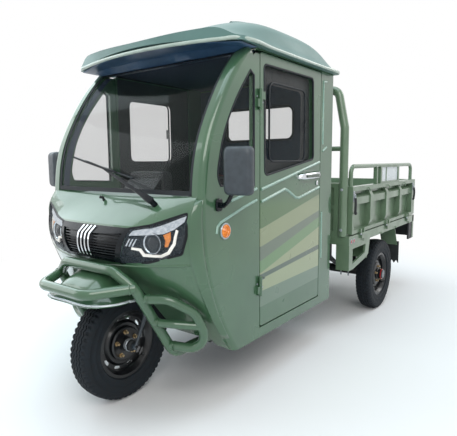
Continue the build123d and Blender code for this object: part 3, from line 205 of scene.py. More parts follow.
def pipe(name, runs, radius, finish_name, body="chassis", closed=False, smooth=False, sides=3):
    """One or more round lengths along points, as a curve with a bevel."""
    data = bpy.data.curves.new(name, "CURVE")
    data.dimensions = "3D"
    data.bevel_depth = radius
    data.bevel_resolution = sides
    data.use_fill_caps = True
    data.resolution_u = 6
    for run in runs:
        if smooth:
            spline = data.splines.new("BEZIER")
            spline.bezier_points.add(len(run) - 1)
            for bezier, point in zip(spline.bezier_points, run):
                bezier.co = point
                bezier.handle_left_type = bezier.handle_right_type = "AUTO"
        else:
            spline = data.splines.new("POLY")
            spline.points.add(len(run) - 1)
            for spot, point in zip(spline.points, run):
                spot.co = (*point, 1)
        spline.use_cyclic_u = closed
    return place(bpy.data.objects.new(name, data), finish_name, body)


def cap_outlines(node_name, axis, high=True):
    """The ordered outlines of a CAD node's flat end faces on one side."""
    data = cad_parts[node_name].data
    values = [v.co[axis] for v in data.vertices]
    level = max(values) if high else min(values)
    edges = {}
    for face in data.polygons:
        if all(abs(data.vertices[i].co[axis] - level) < 2e-4 for i in face.vertices):
            spots = [tuple(round(c, 5) for c in data.vertices[i].co) for i in face.vertices]
            for a, b in zip(spots, spots[1:] + spots[:1]):
                if (b, a) in edges:
                    del edges[(b, a)]
                else:
                    edges[(a, b)] = True
    following = {a: b for a, b in edges}
    outlines = []
    while following:
        start, spot = following.popitem()
        outline = [start]
        while spot != start and spot in following:
            outline.append(spot)
            spot = following.pop(spot)
        outlines.append([Vector(p) for p in outline])
    return sorted(outlines, key=len, reverse=True)


def inset(outline, distance, axis):
    """An outline moved inwards in its own plane, which faces along the axis."""
    across = [i for i in range(3) if i != axis]
    area = sum(
        a[across[0]] * b[across[1]] - b[across[0]] * a[across[1]]
        for a, b in zip(outline, outline[1:] + outline[:1])
    )
    turned = 1 if area > 0 else -1
    count = len(outline)
    moved = []
    for k, point in enumerate(outline):
        run = outline[(k + 1) % count] - outline[k - 1]
        flat = Vector((run[across[0]], run[across[1]])).normalized()
        step = Vector((-flat.y, flat.x)) * distance * turned
        spot = point.copy()
        spot[across[0]] += step.x
        spot[across[1]] += step.y
        moved.append(spot)
    return moved


def spread(outline, gap):
    """An outline with points no closer together than the gap, so that offsets stay clean."""
    kept = [outline[0]]
    for point in outline[1:]:
        if (point - kept[-1]).length >= gap:
            kept.append(point)
    return kept if (kept[0] - kept[-1]).length >= gap else kept[:-1]


def bolts(name, spots, normal, radius, finish_name, body="chassis", height=None):
    """Hexagon bolt heads on washers, as one piece."""
    height = height or radius * 0.9
    turn = Vector((0, 0, 1)).rotation_difference(Vector(normal).normalized()).to_matrix()
    points, faces = [], []
    # shares of the radius and of the height, up the outside
    washer = [(1.45, 0), (1.45, 0.22)]
    head = [(1.0, 0.22), (1.0, 0.85), (0.82, 1.0), (0.3, 1.0)]
    for spot in spots:
        for profile, sides in ((washer, 16), (head, 6)):
            faces += later(ring_faces(len(profile), sides, caps=True), len(points))
            for wide, tall in profile:
                reach = wide * radius
                points += [
                    Vector(spot) + turn @ Vector(
                        (reach * cos(a), reach * sin(a), tall * height)
                    ) for a in turns(sides)
                ]
    data = bpy.data.meshes.new(name)
    data.from_pydata([tuple(p) for p in points], [], faces)
    piece = bpy.data.objects.new(name, data)
    return place(piece, finish_name, body, smooth=30)


# ---------------------------------------------------------------- finishes
def linear(hex_colour):
    """An sRGB hex colour as a linear colour with full alpha."""
    parts = [int(hex_colour[i:i + 2], 16) / 255 for i in (1, 3, 5)]
    return (*[c / 12.92 if c <= 0.04045 else ((c + 0.055) / 1.055) ** 2.4 for c in parts], 1.0)


def node(tree, kind, values=None, links=None, **settings):
    """Adds one shader node with its settings, socket values and links."""
    made = tree.nodes.new(kind)
    for key, value in settings.items():
        setattr(made, key, value)
    for key, value in (values or {}).items():
        made.inputs[key].default_value = value
    for key, socket in (links or {}).items():
        tree.links.new(socket, made.inputs[key])
    return made


def grain(tree, size_mm, kind="ShaderNodeTexNoise", **settings):
    """A procedural pattern whose features measure size_mm, in the piece's own metres."""
    where = node(tree, "ShaderNodeTexCoord").outputs["Object"]
    made = node(tree, kind, {"Scale": 1 / (size_mm * MM)}, {"Vector": where}, **settings)
    if "Detail" in made.inputs:
        made.inputs["Detail"].default_value = 3.0
    return made


def ramp(tree, socket, low, high, start=0.25, end=0.75):
    """Turns a pattern into a value between low and high."""
    made = node(
        tree, "ShaderNodeMapRange",
        {"From Min": start, "From Max": end, "To Min": low, "To Max": high}, {"Value": socket},
        interpolation_type="SMOOTHSTEP",
    )
    return made.outputs["Result"]


def blend_colours(tree, factor, first, second):
    """Mixes two colours, given as hex or as sockets, by a factor socket."""
    made = node(tree, "ShaderNodeMix", {}, {0: factor}, data_type="RGBA")
    for index, colour in ((6, first), (7, second)):
        if isinstance(colour, str):
            made.inputs[index].default_value = linear(colour)
        else:
            tree.links.new(colour, made.inputs[index])
    return made.outputs[2]


# what each finish is made of: its material slot, its colour and a second tone of it, roughness
# low and high, the size in mm of its mottle, the size and depth in mm of its surface grain, and
# the shader's constants
FINISHES = {
    # gloss two-pack enamel over pressed steel: sage green under a hard clear shine, with the
    # faint waviness of sprayed paint
    "sage_enamel": (
        "body_green", "#44664A", "#3D5D44", (0.26, 0.34), 260, (7, 0.02),
        {"Coat Weight": 0.9, "Coat Roughness": 0.03, "Specular IOR Level": 0.3},
    ),
    # the same enamel on the roof, where sun and rain have taken the hard shine off; its paler,
    # cooler tone is a painted reflection of the sky
    "roof_sky_lit_enamel": (
        "body_green", "#5E7E79", "#567570", (0.42, 0.54), 260, (7, 0.02),
        {"Coat Weight": 0.3, "Coat Roughness": 0.32, "Specular IOR Level": 0.3},
    ),
    # the same enamel on heavier welded work, a little duller, with painted light making it paler and warmer
    "bed_lit_enamel": (
        "body_green", "#657C63", "#5A7058", (0.30, 0.44), 120, (5, 0.04),
        {"Coat Weight": 0.5, "Coat Roughness": 0.12}
    ),
    # black powder coat on the frame: even, with a fine pebbled skin and a low sheen
    "black_powder_coat": ("chassis_black", "#15171A", "#202225", (0.42, 0.6), 60, (1.6, 0.05), {}),
    # gloss black stove enamel on pressed wheel discs
    "wheel_enamel": (
        "wheel_black", "#0A0C0F", "#121518", (0.3, 0.42), 40, (6, 0.03),
        {"Coat Weight": 0.25, "Coat Roughness": 0.1}
    ),
    # vulcanised tyre rubber: charcoal, dusty where it meets the road
    "tyre_rubber": ("tyre", "#0E1318", "#1D242A", (0.62, 0.85), 22, (1.4, 0.10), {"Specular IOR Level": 0.3}),
    # extruded sealing rubber round the glass: black and satin
    "seal_rubber": (
        "flap_rubber", "#10161B", "#192026", (0.45, 0.6), 12, (1.5, 0.03), {"Specular IOR Level": 0.3}
    ),
    # moulded rubber of flaps and grips, with a cloudy bloom
    "moulded_rubber": ("flap_rubber", "#17191A", "#25282A", (0.6, 0.8), 30, (2.0, 0.08), {}),
    # grained ABS of mirror shells: dark grey with a leathery mould texture
    "grained_abs": ("mirror_grey", "#3B4349", "#333A40", (0.42, 0.56), 25, (1.3, 0.09), {}),
    # polished black ABS of lamp housings and the grille
    "gloss_abs": (
        "trim_black", "#0A0F14", "#10161B", (0.18, 0.3), 40, (5, 0.01), {"Specular IOR Level": 0.25}
    ),
    # matt ABS of the dash and bases, with a fine spark-eroded grain
    "dash_abs": ("dash_plastic", "#26292C", "#1F2225", (0.5, 0.64), 30, (1.1, 0.08), {}),
    # woven-backed vinyl of the seat: black hide grain with a soft sheen
    "seat_vinyl": ("seat_vinyl", "#17181A", "#222426", (0.42, 0.6), 18, (2.2, 0.18), {"Sheen Weight": 0.12}),
    # bright chromium plate on handles and the grille's bars
    "chrome_plate": ("chrome_trim", "#D7DADD", "#C6CACE", (0.05, 0.12), 30, (9, 0.005), {"Metallic": 1.0}),
    # bright zinc plate on hubs and fork legs: silver with a cloudy bloom
    "zinc_plate": ("motor_grey", "#B4BABF", "#9AA1A7", (0.3, 0.45), 9, (2, 0.03), {"Metallic": 0.6}),
    # yellow passivated zinc on wheel nuts: straw gold with rainbow patches
    "gold_zinc": ("motor_grey", "#BFA985", "#A38D6B", (0.25, 0.42), 5, (2, 0.03), {"Metallic": 0.75}),
    # bare cast aluminium of the motor: pale grey with a sandy skin
    "cast_aluminium": ("motor_grey", "#8D9296", "#74797D", (0.42, 0.62), 10, (1.8, 0.12), {"Metallic": 0.85}),
    # shot-peened spring steel, oiled dark
    "spring_steel": ("spring_steel", "#2B2D30", "#3A3733", (0.4, 0.6), 18, (1.5, 0.08), {"Metallic": 0.7}),
    # grey paint on the fork's lower legs
    "fork_grey": ("motor_grey", "#3A444C", "#2F373E", (0.32, 0.46), 30, (3, 0.03), {"Coat Weight": 0.3}),
    # vacuum-metallised reflector: mirror bright behind the lens
    "reflector": ("chrome_trim", "#DCE2E8", "#BFC8D0", (0.06, 0.16), 14, (6, 0.02), {"Metallic": 1.0}),
    # milky light guide of the daytime lamp
    "light_guide": (
        "lamp_lens", "#F1EDE4", "#E4E0D8", (0.2, 0.3), 10, (5, 0.01), {"Emission Strength": 0.35}
    ),
    # amber acrylic with a prismatic inner face
    "amber_acrylic": (
        "amber_lens", "#E8891B", "#C96A0C", (0.12, 0.22), 9, (5, 0.25),
        {"Coat Weight": 0.6, "Emission Strength": 0.12}
    ),
    # red acrylic of tail lamps and reflectors
    "red_acrylic": (
        "red_lens", "#A3161A", "#7E0D12", (0.12, 0.22), 9, (5, 0.25),
        {"Coat Weight": 0.6, "Emission Strength": 0.05}
    ),
    # painted shade: a dark navy sheet under the roof's brow, the blue-grey of its shaded underside
    "brow_shade_lining": ("dash_plastic", "#34506C", "#2B455F", (0.3, 0.42), 90, (3, 0.03), {}),
    # needled felt headlining and trim
    "headlining": ("dash_plastic", "#38465A", "#2C394B", (0.85, 0.95), 12, (1.2, 0.15), {}),
    # ribbed rubber floor mat
    "mat_rubber": ("flap_rubber", "#1B1D1E", "#2A2C2C", (0.7, 0.85), 40, (2.2, 0.1), {}),
    # matt black glass of the instrument display
    "display_glass": ("trim_black", "#07090C", "#0B0F14", (0.06, 0.1), 50, (9, 0.004), {}),
    # white stove-enamelled aluminium of the blank plate
    "plate_enamel": ("chrome_trim", "#D9DEE0", "#CDD3D5", (0.25, 0.35), 50, (6, 0.02), {}),
    # painted highlight along the pressed lines: the pale line where the beads catch the sky, outlining the
    # side panels
    "swage_highlight_enamel": (
        "body_green", "#86A99C", "#7FA08F", (0.24, 0.32), 60, (7, 0.02),
        {"Coat Weight": 0.6, "Coat Roughness": 0.06}
    ),
    # painted shade: dark green inside the door grip, where the bow shades it
    "grip_painted_shade": (
        "body_green", "#2C4433", "#23382A", (0.2, 0.3), 60, (6, 0.02),
        {"Coat Weight": 0.5, "Coat Roughness": 0.06}
    ),
    # maroon vinyl welt of the seat
    "maroon_piping": ("seat_vinyl", "#6E2A30", "#5A2127", (0.45, 0.6), 14, (2, 0.1), {}),
    # the rolled edge of the roof, pale grey-green: a painted highlight where the sky catches its rounding
    "roof_lip_highlight": ("chrome_trim", "#AEBBB0", "#9FADA3", (0.25, 0.36), 60, (5, 0.02), {"Coat Weight": 0.3}),
    # silver strip along the mudguard's lip
    "bright_strip": ("chrome_trim", "#D5DBDF", "#C3CBD0", (0.25, 0.35), 30, (5, 0.02), {"Metallic": 0.3}),
}
# clear materials: material slot, tint, second tone, roughness, how much of the view they hold back
CLEAR = {
    # toughened cab glass: clear with hard reflections; its dark green tint is partly the glass's body colour
    # and partly a painted dark reflection
    "cab_glass": ("glass", "#26332F", "#1E2926", 0.02, 0.13),
    # polycarbonate lamp cover, clear with a cool edge
    "lamp_cover": ("lamp_lens", "#8E9BA4", "#78868F", 0.04, 0.12),
    # silvered mirror glass: smooth, cool and not seen through
    "mirror_glass": ("chrome_trim", "#C9D2D8", "#B8C2C9", 0.03, 1.0),
}
# the decal's boundaries across the door, from the lowest up: height in millimetres at the
# door's front edge and at its rear edge, and the tone above the line
BANDS = [
    (429, 444, "#5C7460"), (508, 518, "#8F9A78"), (570, 618, "#44584B"), (593, 646, "#8B9673"),
    (602, 752, "#5F8258"), (662, 812, "#5B6B5B"), (732, 851, "#838E6C"), (820, 947, "#48683F"),
]


def decal_bands(tree, base):
    """Tone-on-tone decal bands in khaki, grey and leaf green, slanting up to the door's rear edge."""
    where = node(tree, "ShaderNodeTexCoord").outputs["Object"]
    split = node(tree, "ShaderNodeSeparateXYZ", {}, {0: where})
    front, rear = FRONT_AXLE_Y + 0.446, FRONT_AXLE_Y + 1.066
    along = node(
        tree, "ShaderNodeMapRange", {"From Min": front, "From Max": rear}, {"Value": split.outputs["Y"]}
    ).outputs["Result"]
    colour = base
    for low, high, tone in BANDS:
        line = node(
            tree, "ShaderNodeMapRange", {"To Min": low * MM, "To Max": high * MM}, {"Value": along}
        ).outputs["Result"]
        above = node(
            tree, "ShaderNodeMath", {}, {0: split.outputs["Z"], 1: line}, operation="SUBTRACT"
        ).outputs[0]
        colour = blend_colours(tree, ramp(tree, above, 0.0, 1.0, -0.002, 0.002), colour, tone)
    return blend_colours(tree, ramp(tree, split.outputs["Z"], 0.0, 1.0, 0.90, 1.0), colour, base)


def finish(name):
    """The material of one real finish, made the first time it is asked for."""
    if name in bpy.data.materials:
        return bpy.data.materials[name]
    made = bpy.data.materials.new(name)
    made.use_nodes = True
    tree = made.node_tree
    shader = tree.nodes["Principled BSDF"]
    if name in CLEAR:
        _, tint, second, roughness, held = CLEAR[name]
        patch = ramp(tree, grain(tree, 180).outputs[0], 0.0, 1.0)
        tree.links.new(blend_colours(tree, patch, tint, second), shader.inputs["Base Color"])
        shader.inputs["Roughness"].default_value = roughness
        shader.inputs["Alpha"].default_value = held
        if held == 1.0:
            shader.inputs["Metallic"].default_value = 1.0
        return made
    source = "sage_enamel" if name == "striped_enamel" else name
    _, first, second, (smooth, rough), mottle_mm, (grain_mm, depth_mm), constants = FINISHES[source]
    mottle = grain(tree, mottle_mm).outputs[0]
    colour = blend_colours(tree, ramp(tree, mottle, 0.0, 1.0), first, second)
    if name == "striped_enamel":
        colour = decal_bands(tree, colour)
    # lighter convex edges: rubbed wear on the frame, wheels and springs, and a painted highlight along the
    # mirror shells' edges
    if name in ("black_powder_coat", "wheel_enamel", "spring_steel", "grained_abs"):
        edge = node(tree, "ShaderNodeNewGeometry").outputs["Pointiness"]
        edge_wear_and_highlight = ramp(tree, edge, 0.0, 0.3, 0.53, 0.62)
        lighter = node(tree, "ShaderNodeHueSaturation", {"Value": 1.8}, {"Color": colour}).outputs[0]
        colour = blend_colours(tree, edge_wear_and_highlight, colour, lighter)
    tree.links.new(colour, shader.inputs["Base Color"])
    tree.links.new(ramp(tree, mottle, smooth, rough), shader.inputs["Roughness"])
    kind = "ShaderNodeTexVoronoi" if name in (
        "seat_vinyl", "amber_acrylic", "red_acrylic"
    ) else "ShaderNodeTexNoise"
    texture = grain(tree, grain_mm, kind=kind).outputs[0]
    bump = node(
        tree, "ShaderNodeBump", {"Strength": 0.6, "Distance": depth_mm * MM}, {"Height": texture}
    ).outputs[0]
    tree.links.new(bump, shader.inputs["Normal"])
    for key, value in constants.items():
        shader.inputs[key].default_value = value
    if "Emission Strength" in constants:
        shader.inputs["Emission Color"].default_value = linear(first)
    return made


# ---------------------------------------------------------------- finishes of the CAD nodes
NODE_FINISHES = {
    "sage_enamel": (
        "cab_rear_wall", "cab_side_frames", "front_bumper", "front_fascia", "front_mudguard",
        "front_pillars", "quarter_panels",
    ),
    # the roof's enamel carries a painted sky reflection in its paler, cooler tone
    "roof_sky_lit_enamel": ("roof",),
    "striped_enamel": ("left_door", "right_door"),
    # the bed's enamel is painted paler and warmer, as light falling on it
    "bed_lit_enamel": (
        "bed_floor", "headboard", "headboard_hoop", "left_side_board", "rear_mudguards",
        "right_side_board", "tailgate", "under_bed_guards",
    ),
    "black_powder_coat": (
        "battery_box", "cab_floor", "chassis_frame", "handlebar", "rear_axle", "steering_head",
        "tail_panel",
    ),
    "wheel_enamel": ("front_rim", "rear_left_rim", "rear_right_rim"),
    "tyre_rubber": ("front_tyre", "rear_left_tyre", "rear_right_tyre"),
    "moulded_rubber": ("mud_flaps",),
    "cast_aluminium": ("drive_motor",),
    "spring_steel": ("leaf_springs",),
    "fork_grey": ("front_fork",),
    "dash_abs": ("dashboard", "seat_base"),
    "seat_vinyl": ("seat_backrest", "seat_cushion"),
    "grained_abs": ("mirrors",),
    "gloss_abs": ("grille", "wiper"),
    "lamp_cover": ("headlamps",),
    "cab_glass": ("fixed_windows", "left_door_glass", "right_door_glass", "windscreen"),
    "amber_acrylic": ("side_markers",),
    "red_acrylic": ("tail_lamps",),
    "chrome_plate": ("left_door_handle", "right_door_handle"),
}


class FinishNodes(bpy.types.Operator):
    """Gives every CAD node its real finish."""

    bl_idname = "tricycle.finish_nodes"
    bl_label = "Finish CAD nodes"

    def execute(self, context):
        for name, nodes in NODE_FINISHES.items():
            for node_name in nodes:
                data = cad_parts[node_name].data
                data.materials.clear()
                data.materials.append(finish(name))
        return {"FINISHED"}


# ---------------------------------------------------------------- wheels
class WheelSettings(bpy.types.PropertyGroup):
    """Sizes of the tyre tread and the wheel fittings."""

    tread_depth: bpy.props.FloatProperty(
        name="Tread depth", description="Depth of the tread grooves", default=6.5 * MM, unit="LENGTH"
    )
    tread_pitches: bpy.props.IntProperty(
        name="Tread pitches", description="Zigzags round the tyre", default=56, min=20, max=80
    )
    zigzag: bpy.props.FloatProperty(
        name="Zigzag", description="Side swing of the tread grooves", default=4.5 * MM, unit="LENGTH"
    )
    nut_circle: bpy.props.FloatProperty(
        name="Nut circle", description="Radius of the wheel nut circle", default=58 * MM, unit="LENGTH"
    )


class AddTyres(bpy.types.Operator):
    """Adds the three ribbed tyres with zigzag grooves, notched shoulders and moulded side rings."""

    bl_idname = "tricycle.add_tyres"
    bl_label = "Tyres"

    # distance out from the middle, drop from the tread face in groove depths, zigzag share,
    # shoulder notch share; then the side wall down to the bead as (out, radius)
    TREAD = [
        (0, 0, 1, 0), (7, 0, 1, 0), (8.5, 1, 1, 0), (12, 1, 1, 0), (13.5, 0, 1, 0), (24, 0, 1, 0),
        (25.5, 1, 1, 0), (29, 1, 1, 0), (30.5, 0, 1, 0), (38, 0, 1, 0), (43, 0.1, 0.8, 1),
        (49.5, 0.4, 0.2, 1),
    ]
    WALL = [
        (53.5, 246), (55, 240), (55.2, 232), (56, 231), (56, 229), (55.4, 228), (55.6, 214), (54.6, 202),
        (55.2, 200.5), (55, 198), (53.6, 197), (51.5, 186), (49.5, 176), (50.4, 173), (49.8, 169),
        (46.5, 165.5),
        (42, 164),
    ]
    CROWN_RADIUS = 178

    def execute(self, context):
        settings = context.scene.tricycle_wheels
        for wheel in ("front", "rear_left", "rear_right"):
            self.add_tyre(settings, f"{wheel}_tyre", f"{wheel}_wheel")
        return {"FINISHED"}

    def add_tyre(self, settings, node_name, body):
        low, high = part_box(node_name)
        centre = (Vector(low) + Vector(high)) / 2
        steps_per_pitch = 6
        rows = settings.tread_pitches * steps_per_pitch
        points = []
        for row in range(rows):
            phase = row % steps_per_pitch / steps_per_pitch
            swing = settings.zigzag * (abs(phase * 4 - 2) - 1)
            turn = 2 * pi * row / rows
            line = []
            for side in (-1, 1):
                ribs = []
                for out, drop, share, notch in self.TREAD:
                    crown = self.CROWN_RADIUS * MM - sqrt((self.CROWN_RADIUS * MM) ** 2 - (out * MM) ** 2)
                    radius = TYRE_RADIUS - crown - drop * settings.tread_depth
                    offset = row + (steps_per_pitch // 2 if side > 0 else 0)
                    if notch and offset % steps_per_pitch in (0, 1):
                        radius -= notch * settings.tread_depth * 0.9
                    ribs.append((side * out * MM + share * swing, radius))
                wall = [(side * out * MM, radius * MM) for out, radius in self.WALL]
                line.append(ribs + wall)
            section = line[0][::-1] + line[1][1:]
            for across, radius in section:
                points.append(centre + Vector((across, radius * cos(turn), radius * sin(turn))))
        columns = len(points) // rows
        faces = ring_faces(rows, columns, closed_rows=True)
        tyre = mesh_piece(f"{node_name}_ribbed", points, faces, "tyre_rubber", body, smooth=32)
        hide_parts(node_name)


class AddWheelFittings(bpy.types.Operator):
    """Adds the turned hub parts, brake drums, wheel nuts and valves."""

    bl_idname = "tricycle.add_wheel_fittings"
    bl_label = "Wheel fittings"

    def execute(self, context):
        settings = context.scene.tricycle_wheels
        self.add_front(settings)
        for side, name in SIDES:
            self.add_rear(settings, side, name)
        return {"FINISHED"}

    def nuts(self, name, centre, side, body, circle, out):
        first = 0.35
        spots = [
            Vector(centre) + Vector(
                (side * out, circle * cos(a + first), circle * sin(a + first))
            ) for a in turns(5)
        ]
        bolts(name, spots, (side, 0, 0), 7.5 * MM, "gold_zinc", body, height=19 * MM)

    def add_front(self, settings):
        centre = Vector((0, FRONT_AXLE_Y, AXLE_Z))
        # (name, distance out, finish, profile) of each turned part of the hub
        parts = (
            ("plate", 21, "wheel_enamel", [(84, 0), (84, 5), (78, 9), (74, 9), (70, 6), (34, 6), (34, 0)]),
            ("end", 26, "zinc_plate", [(33, 0), (33, 3), (31, 5), (31, 34), (29, 36), (15, 36)]),
            ("seal", 61, "moulded_rubber", [(27, 0), (28, 2), (27, 14), (20, 19), (13, 19)]),
        )
        for side, name in SIDES:
            x = Vector((side, 0, 0))
            for part, out, finish_name, profile in parts:
                spot = centre + x * out * MM
                lathe(f"front_hub_{part}_{name}", profile, spot, x, finish_name, "front_wheel")
                if part == "plate":
                    self.nuts(f"front_nuts_{name}", centre, side, "front_wheel", settings.nut_circle, 27 * MM)
        self.valve("front_valve", centre, 1, "front_wheel")

    def valve(self, name, centre, side, body):
        foot = Vector(centre) + mm(side * 26, 100, -88)
        lathe(
            name,
            [(6, 0), (5, 10), (4, 12), (4, 30), (5, 31), (5, 38), (2, 39)],
            foot, (side * 0.8, -0.45, 0.4), "moulded_rubber", body, steps=16,
        )

    def add_rear(self, settings, side, name):
        low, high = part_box(f"rear_{name}_tyre")
        centre = (Vector(low) + Vector(high)) / 2
        body = f"rear_{name}_wheel"
        x = Vector((side, 0, 0))
        outer = (max(abs(c[0]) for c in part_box(f"rear_{name}_rim")) - abs(centre.x)) / MM
        for part, out, finish_name, profile in (
            ("drum", 14, "wheel_enamel", [(86, 0), (88, 3), (88, 7), (80, 12), (60, 14), (56, 10), (35, 10)]),
            ("hub_flange", 24, "wheel_enamel", [(36, 0), (44, 2), (44, 8), (38, 12), (37, 30), (34, 33)]),
            ("hub_ring", outer - 15, "red_acrylic", [(35, 0), (39, 1.5), (39, 7), (35, 9)]),
            ("hub_cap", outer - 8, "cast_aluminium", [(30, 0), (30, 5), (27, 9), (12, 11), (0.5, 11)]),
        ):
            lathe(f"rear_{part}_{name}", profile, centre + x * out * MM, x, finish_name, body)
            if part == "drum":
                self.nuts(f"rear_nuts_{name}", centre, side, body, settings.nut_circle, 26 * MM)
        self.valve(f"rear_valve_{name}", centre, side, body)


# ---------------------------------------------------------------- nose
class Skin:
    """The outer surface of some CAD nodes, found by looking back along the vehicle."""

    def __init__(self, *node_names):
        self.tree = tree_of(*node_names)

    def at(self, x, z, out=0.0):
        """The point at x, z in millimetres, stood out from the surface by out."""
        spot, normal = self.tree.ray_cast(Vector((x * MM, FRONT_AXLE_Y - 1, z * MM)), Vector((0, 1, 0)))[:2]
        if spot is None:
            spot, normal = self.tree.find_nearest(Vector((x * MM, FRONT_AXLE_Y - 0.05, z * MM)))[:2]
        normal = normal if normal.y < 0 else -normal
        return spot + normal * out * MM

    def normal(self, x, z):
        """The way the surface faces there."""
        return (self.at(x, z, 1) - self.at(x, z)).normalized()

    def patch(self, name, outlines, out, thickness, finish_name, step=12, bevel=0.0):
        """Plates that follow the surface, cut to (x, z) outlines in millimetres, as one piece."""
        work = bmesh.new()
        for outline in outlines:
            face = work.faces.new([work.verts.new((x, 0, z)) for x, z in outline])
            face.normal_update()
        for axis in (0, 2):
            values = [v.co[axis] for v in work.verts]
            for k in range(ceil(min(values) / step), ceil(max(values) / step) + 1):
                spot, way = Vector(), Vector()
                spot[axis], way[axis] = k * step, 1
                geometry = work.verts[:] + work.edges[:] + work.faces[:]
                bmesh.ops.bisect_plane(work, geom=geometry, plane_co=spot, plane_no=way)
        flat = {v: (v.co.x, v.co.z) for v in work.verts}
        made = bmesh.ops.extrude_face_region(work, geom=work.faces[:], use_keep_orig=True)
        lifted = [g for g in made["geom"] if isinstance(g, bmesh.types.BMVert)]
        for v in lifted:
            v.co = self.at(v.co.x, v.co.z, out)
        for v, (x, z) in flat.items():
            v.co = self.at(x, z, out - thickness)
        bmesh.ops.recalc_face_normals(work, faces=work.faces)
        data = bpy.data.meshes.new(name)
        work.to_mesh(data)
        work.free()
        return soften(place(bpy.data.objects.new(name, data), finish_name), bevel, 50)


def mirrored(outlines):
    """Outlines of (x, z) pairs and their mirror images."""
    return outlines + [[(-x, z) for x, z in outline[::-1]] for outline in outlines]


def offset_flat(outline, distance):
    """A flat (x, z) outline moved inwards, or outwards where the distance is negative."""
    moved = inset([Vector((x, 0, z)) for x, z in outline], distance, 1)
    return [(p.x, p.z) for p in moved]


def rounded(outline, radius, steps=4):
    """A flat outline with its corners rounded."""
    points = []
    count = len(outline)
    for k in range(count):
        corner = Vector(outline[k])
        before, after = Vector(outline[k - 1]) - corner, Vector(outline[(k + 1) % count]) - corner
        reach = min(radius, before.length * 0.45, after.length * 0.45)
        start, end = corner + before.normalized() * reach, corner + after.normalized() * reach
        for i in range(steps + 1):
            t = i / steps
            points.append(tuple(start * (1 - t) ** 2 + corner * 2 * t * (1 - t) + end * t ** 2))
    return points


LAMP = [(180, 712), (236, 868), (330, 884), (486, 940), (490, 840), (470, 770), (330, 728)]
GRILLE = [(-222, 866), (222, 866), (168, 722), (-168, 722)]


class AddHeadlamps(bpy.types.Operator):
    """Adds the headlamps: dark trays, bright bands, projector bowls, amber corners and clear covers."""

    bl_idname = "tricycle.add_headlamps"
    bl_label = "Headlamps"

    def execute(self, context):
        skin = Skin("front_fascia", "headlamps", "grille")
        edge = rounded(offset_flat(LAMP, 3), 12)
        deep = rounded(offset_flat(LAMP, 9), 12)
        for side, name in SIDES:
            points = [skin.at(side * x, z, out) for ring, out in ((edge, -3), (deep, -40)) for x, z in ring]
            data = bpy.data.meshes.new(f"headlamp_wall_{name}")
            data.from_pydata([tuple(p) for p in points], [], ring_faces(2, len(edge)))
            place(bpy.data.objects.new(f"headlamp_wall_{name}", data), "gloss_abs")
        skin.patch("headlamp_trays", mirrored([deep]), -37, 2, "gloss_abs")
        rim_outer, rim_inner = rounded(offset_flat(LAMP, -3), 12), rounded(offset_flat(LAMP, 7), 10)
        self.add_rims(skin, rim_outer, rim_inner)
        band = [
            (238, 840), (238, 865), (332, 879), (480, 932), (474, 903), (436, 872), (396, 853), (332, 846)
        ]
        skin.patch("headlamp_upper_bands", mirrored([band]), -8, 5, "reflector", bevel=1.5 * MM)
        guide = [
            (255, 779), (257, 789), (300, 785), (314, 761), (380, 760), (409, 776), (433, 814), (442, 872),
            (451, 868), (443, 808), (418, 766), (384, 749), (306, 749), (292, 775),
        ]
        skin.patch("headlamp_light_guides", mirrored([guide]), -10, 6, "light_guide", bevel=1.5 * MM)
        fins = [[(x, 792), (x + 16, 828), (x + 23, 828), (x + 8, 792)] for x in (224, 240, 256)]
        skin.patch("headlamp_fins", mirrored(fins), -12, 8, "reflector", bevel=1 * MM)
        amber = [(400, 797), (403, 824), (392, 848), (420, 862), (424, 830), (412, 797)]
        skin.patch("headlamp_ambers", mirrored([amber]), -12, 6, "amber_acrylic", bevel=1 * MM)
        for side, name in SIDES:
            self.add_bowl(skin, side, name)
        self.add_covers(skin)
        return {"FINISHED"}

    def add_rims(self, skin, outer, inner):
        points, faces = [], []
        for side in (1, -1):
            faces += later(ring_faces(4, len(outer), closed_rows=True), len(points))
            for ring, out in ((outer, -2), (outer, 2.2), (inner, 1.8), (inner, -3)):
                points += [skin.at(side * x, z, out) for x, z in ring]
        mesh_piece("headlamp_rims", points, faces, "gloss_abs", smooth=50)

    def add_bowl(self, skin, side, name):
        """One projector: a bright bowl with a dark ring and a bulging lens."""
        face = skin.normal(side * 350, 811)
        face = (face + Vector((0, -1.2, 0))).normalized()
        spot = skin.at(side * 350, 809, -36)
        lathe(
            f"headlamp_bowl_{name}",
            [(12, 2), (26, 5), (37, 12), (42, 20), (44, 20), (44, 0)],
            spot, face, "reflector",
        )
        lathe(
            f"headlamp_shroud_{name}",
            [(41, 16), (46, 21), (47, 20), (47, -2), (41, -2)],
            spot, face, "gloss_abs",
        )
        lens = [(32 * cos(radians(d)), 8 + 14 * sin(radians(d))) for d in range(0, 90, 12)]
        lathe(f"headlamp_lens_{name}", [(32, 2)] + lens + [(0.3, 22)], spot, face, "display_glass")

    def add_covers(self, skin):
        """The clear covers: the outer faces of the CAD lamps as thin shells."""
        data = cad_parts["headlamps"].data
        faces = []
        for face in data.polygons:
            centre = Vector(face.center)
            spot = skin.tree.ray_cast(centre + Vector((0, -0.5, 0)), Vector((0, 1, 0)))[0]
            if spot is not None and (spot - centre).length < 6e-4 and face.normal.y < 0.1:
                faces.append(tuple(face.vertices))
        used = sorted({i for face in faces for i in face})
        index = {old: new for new, old in enumerate(used)}
        points = [tuple(data.vertices[i].co) for i in used]
        shell = mesh_piece(
            "headlamp_covers", points, [tuple(index[i] for i in f) for f in faces], "lamp_cover"
        )
        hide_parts("headlamps")


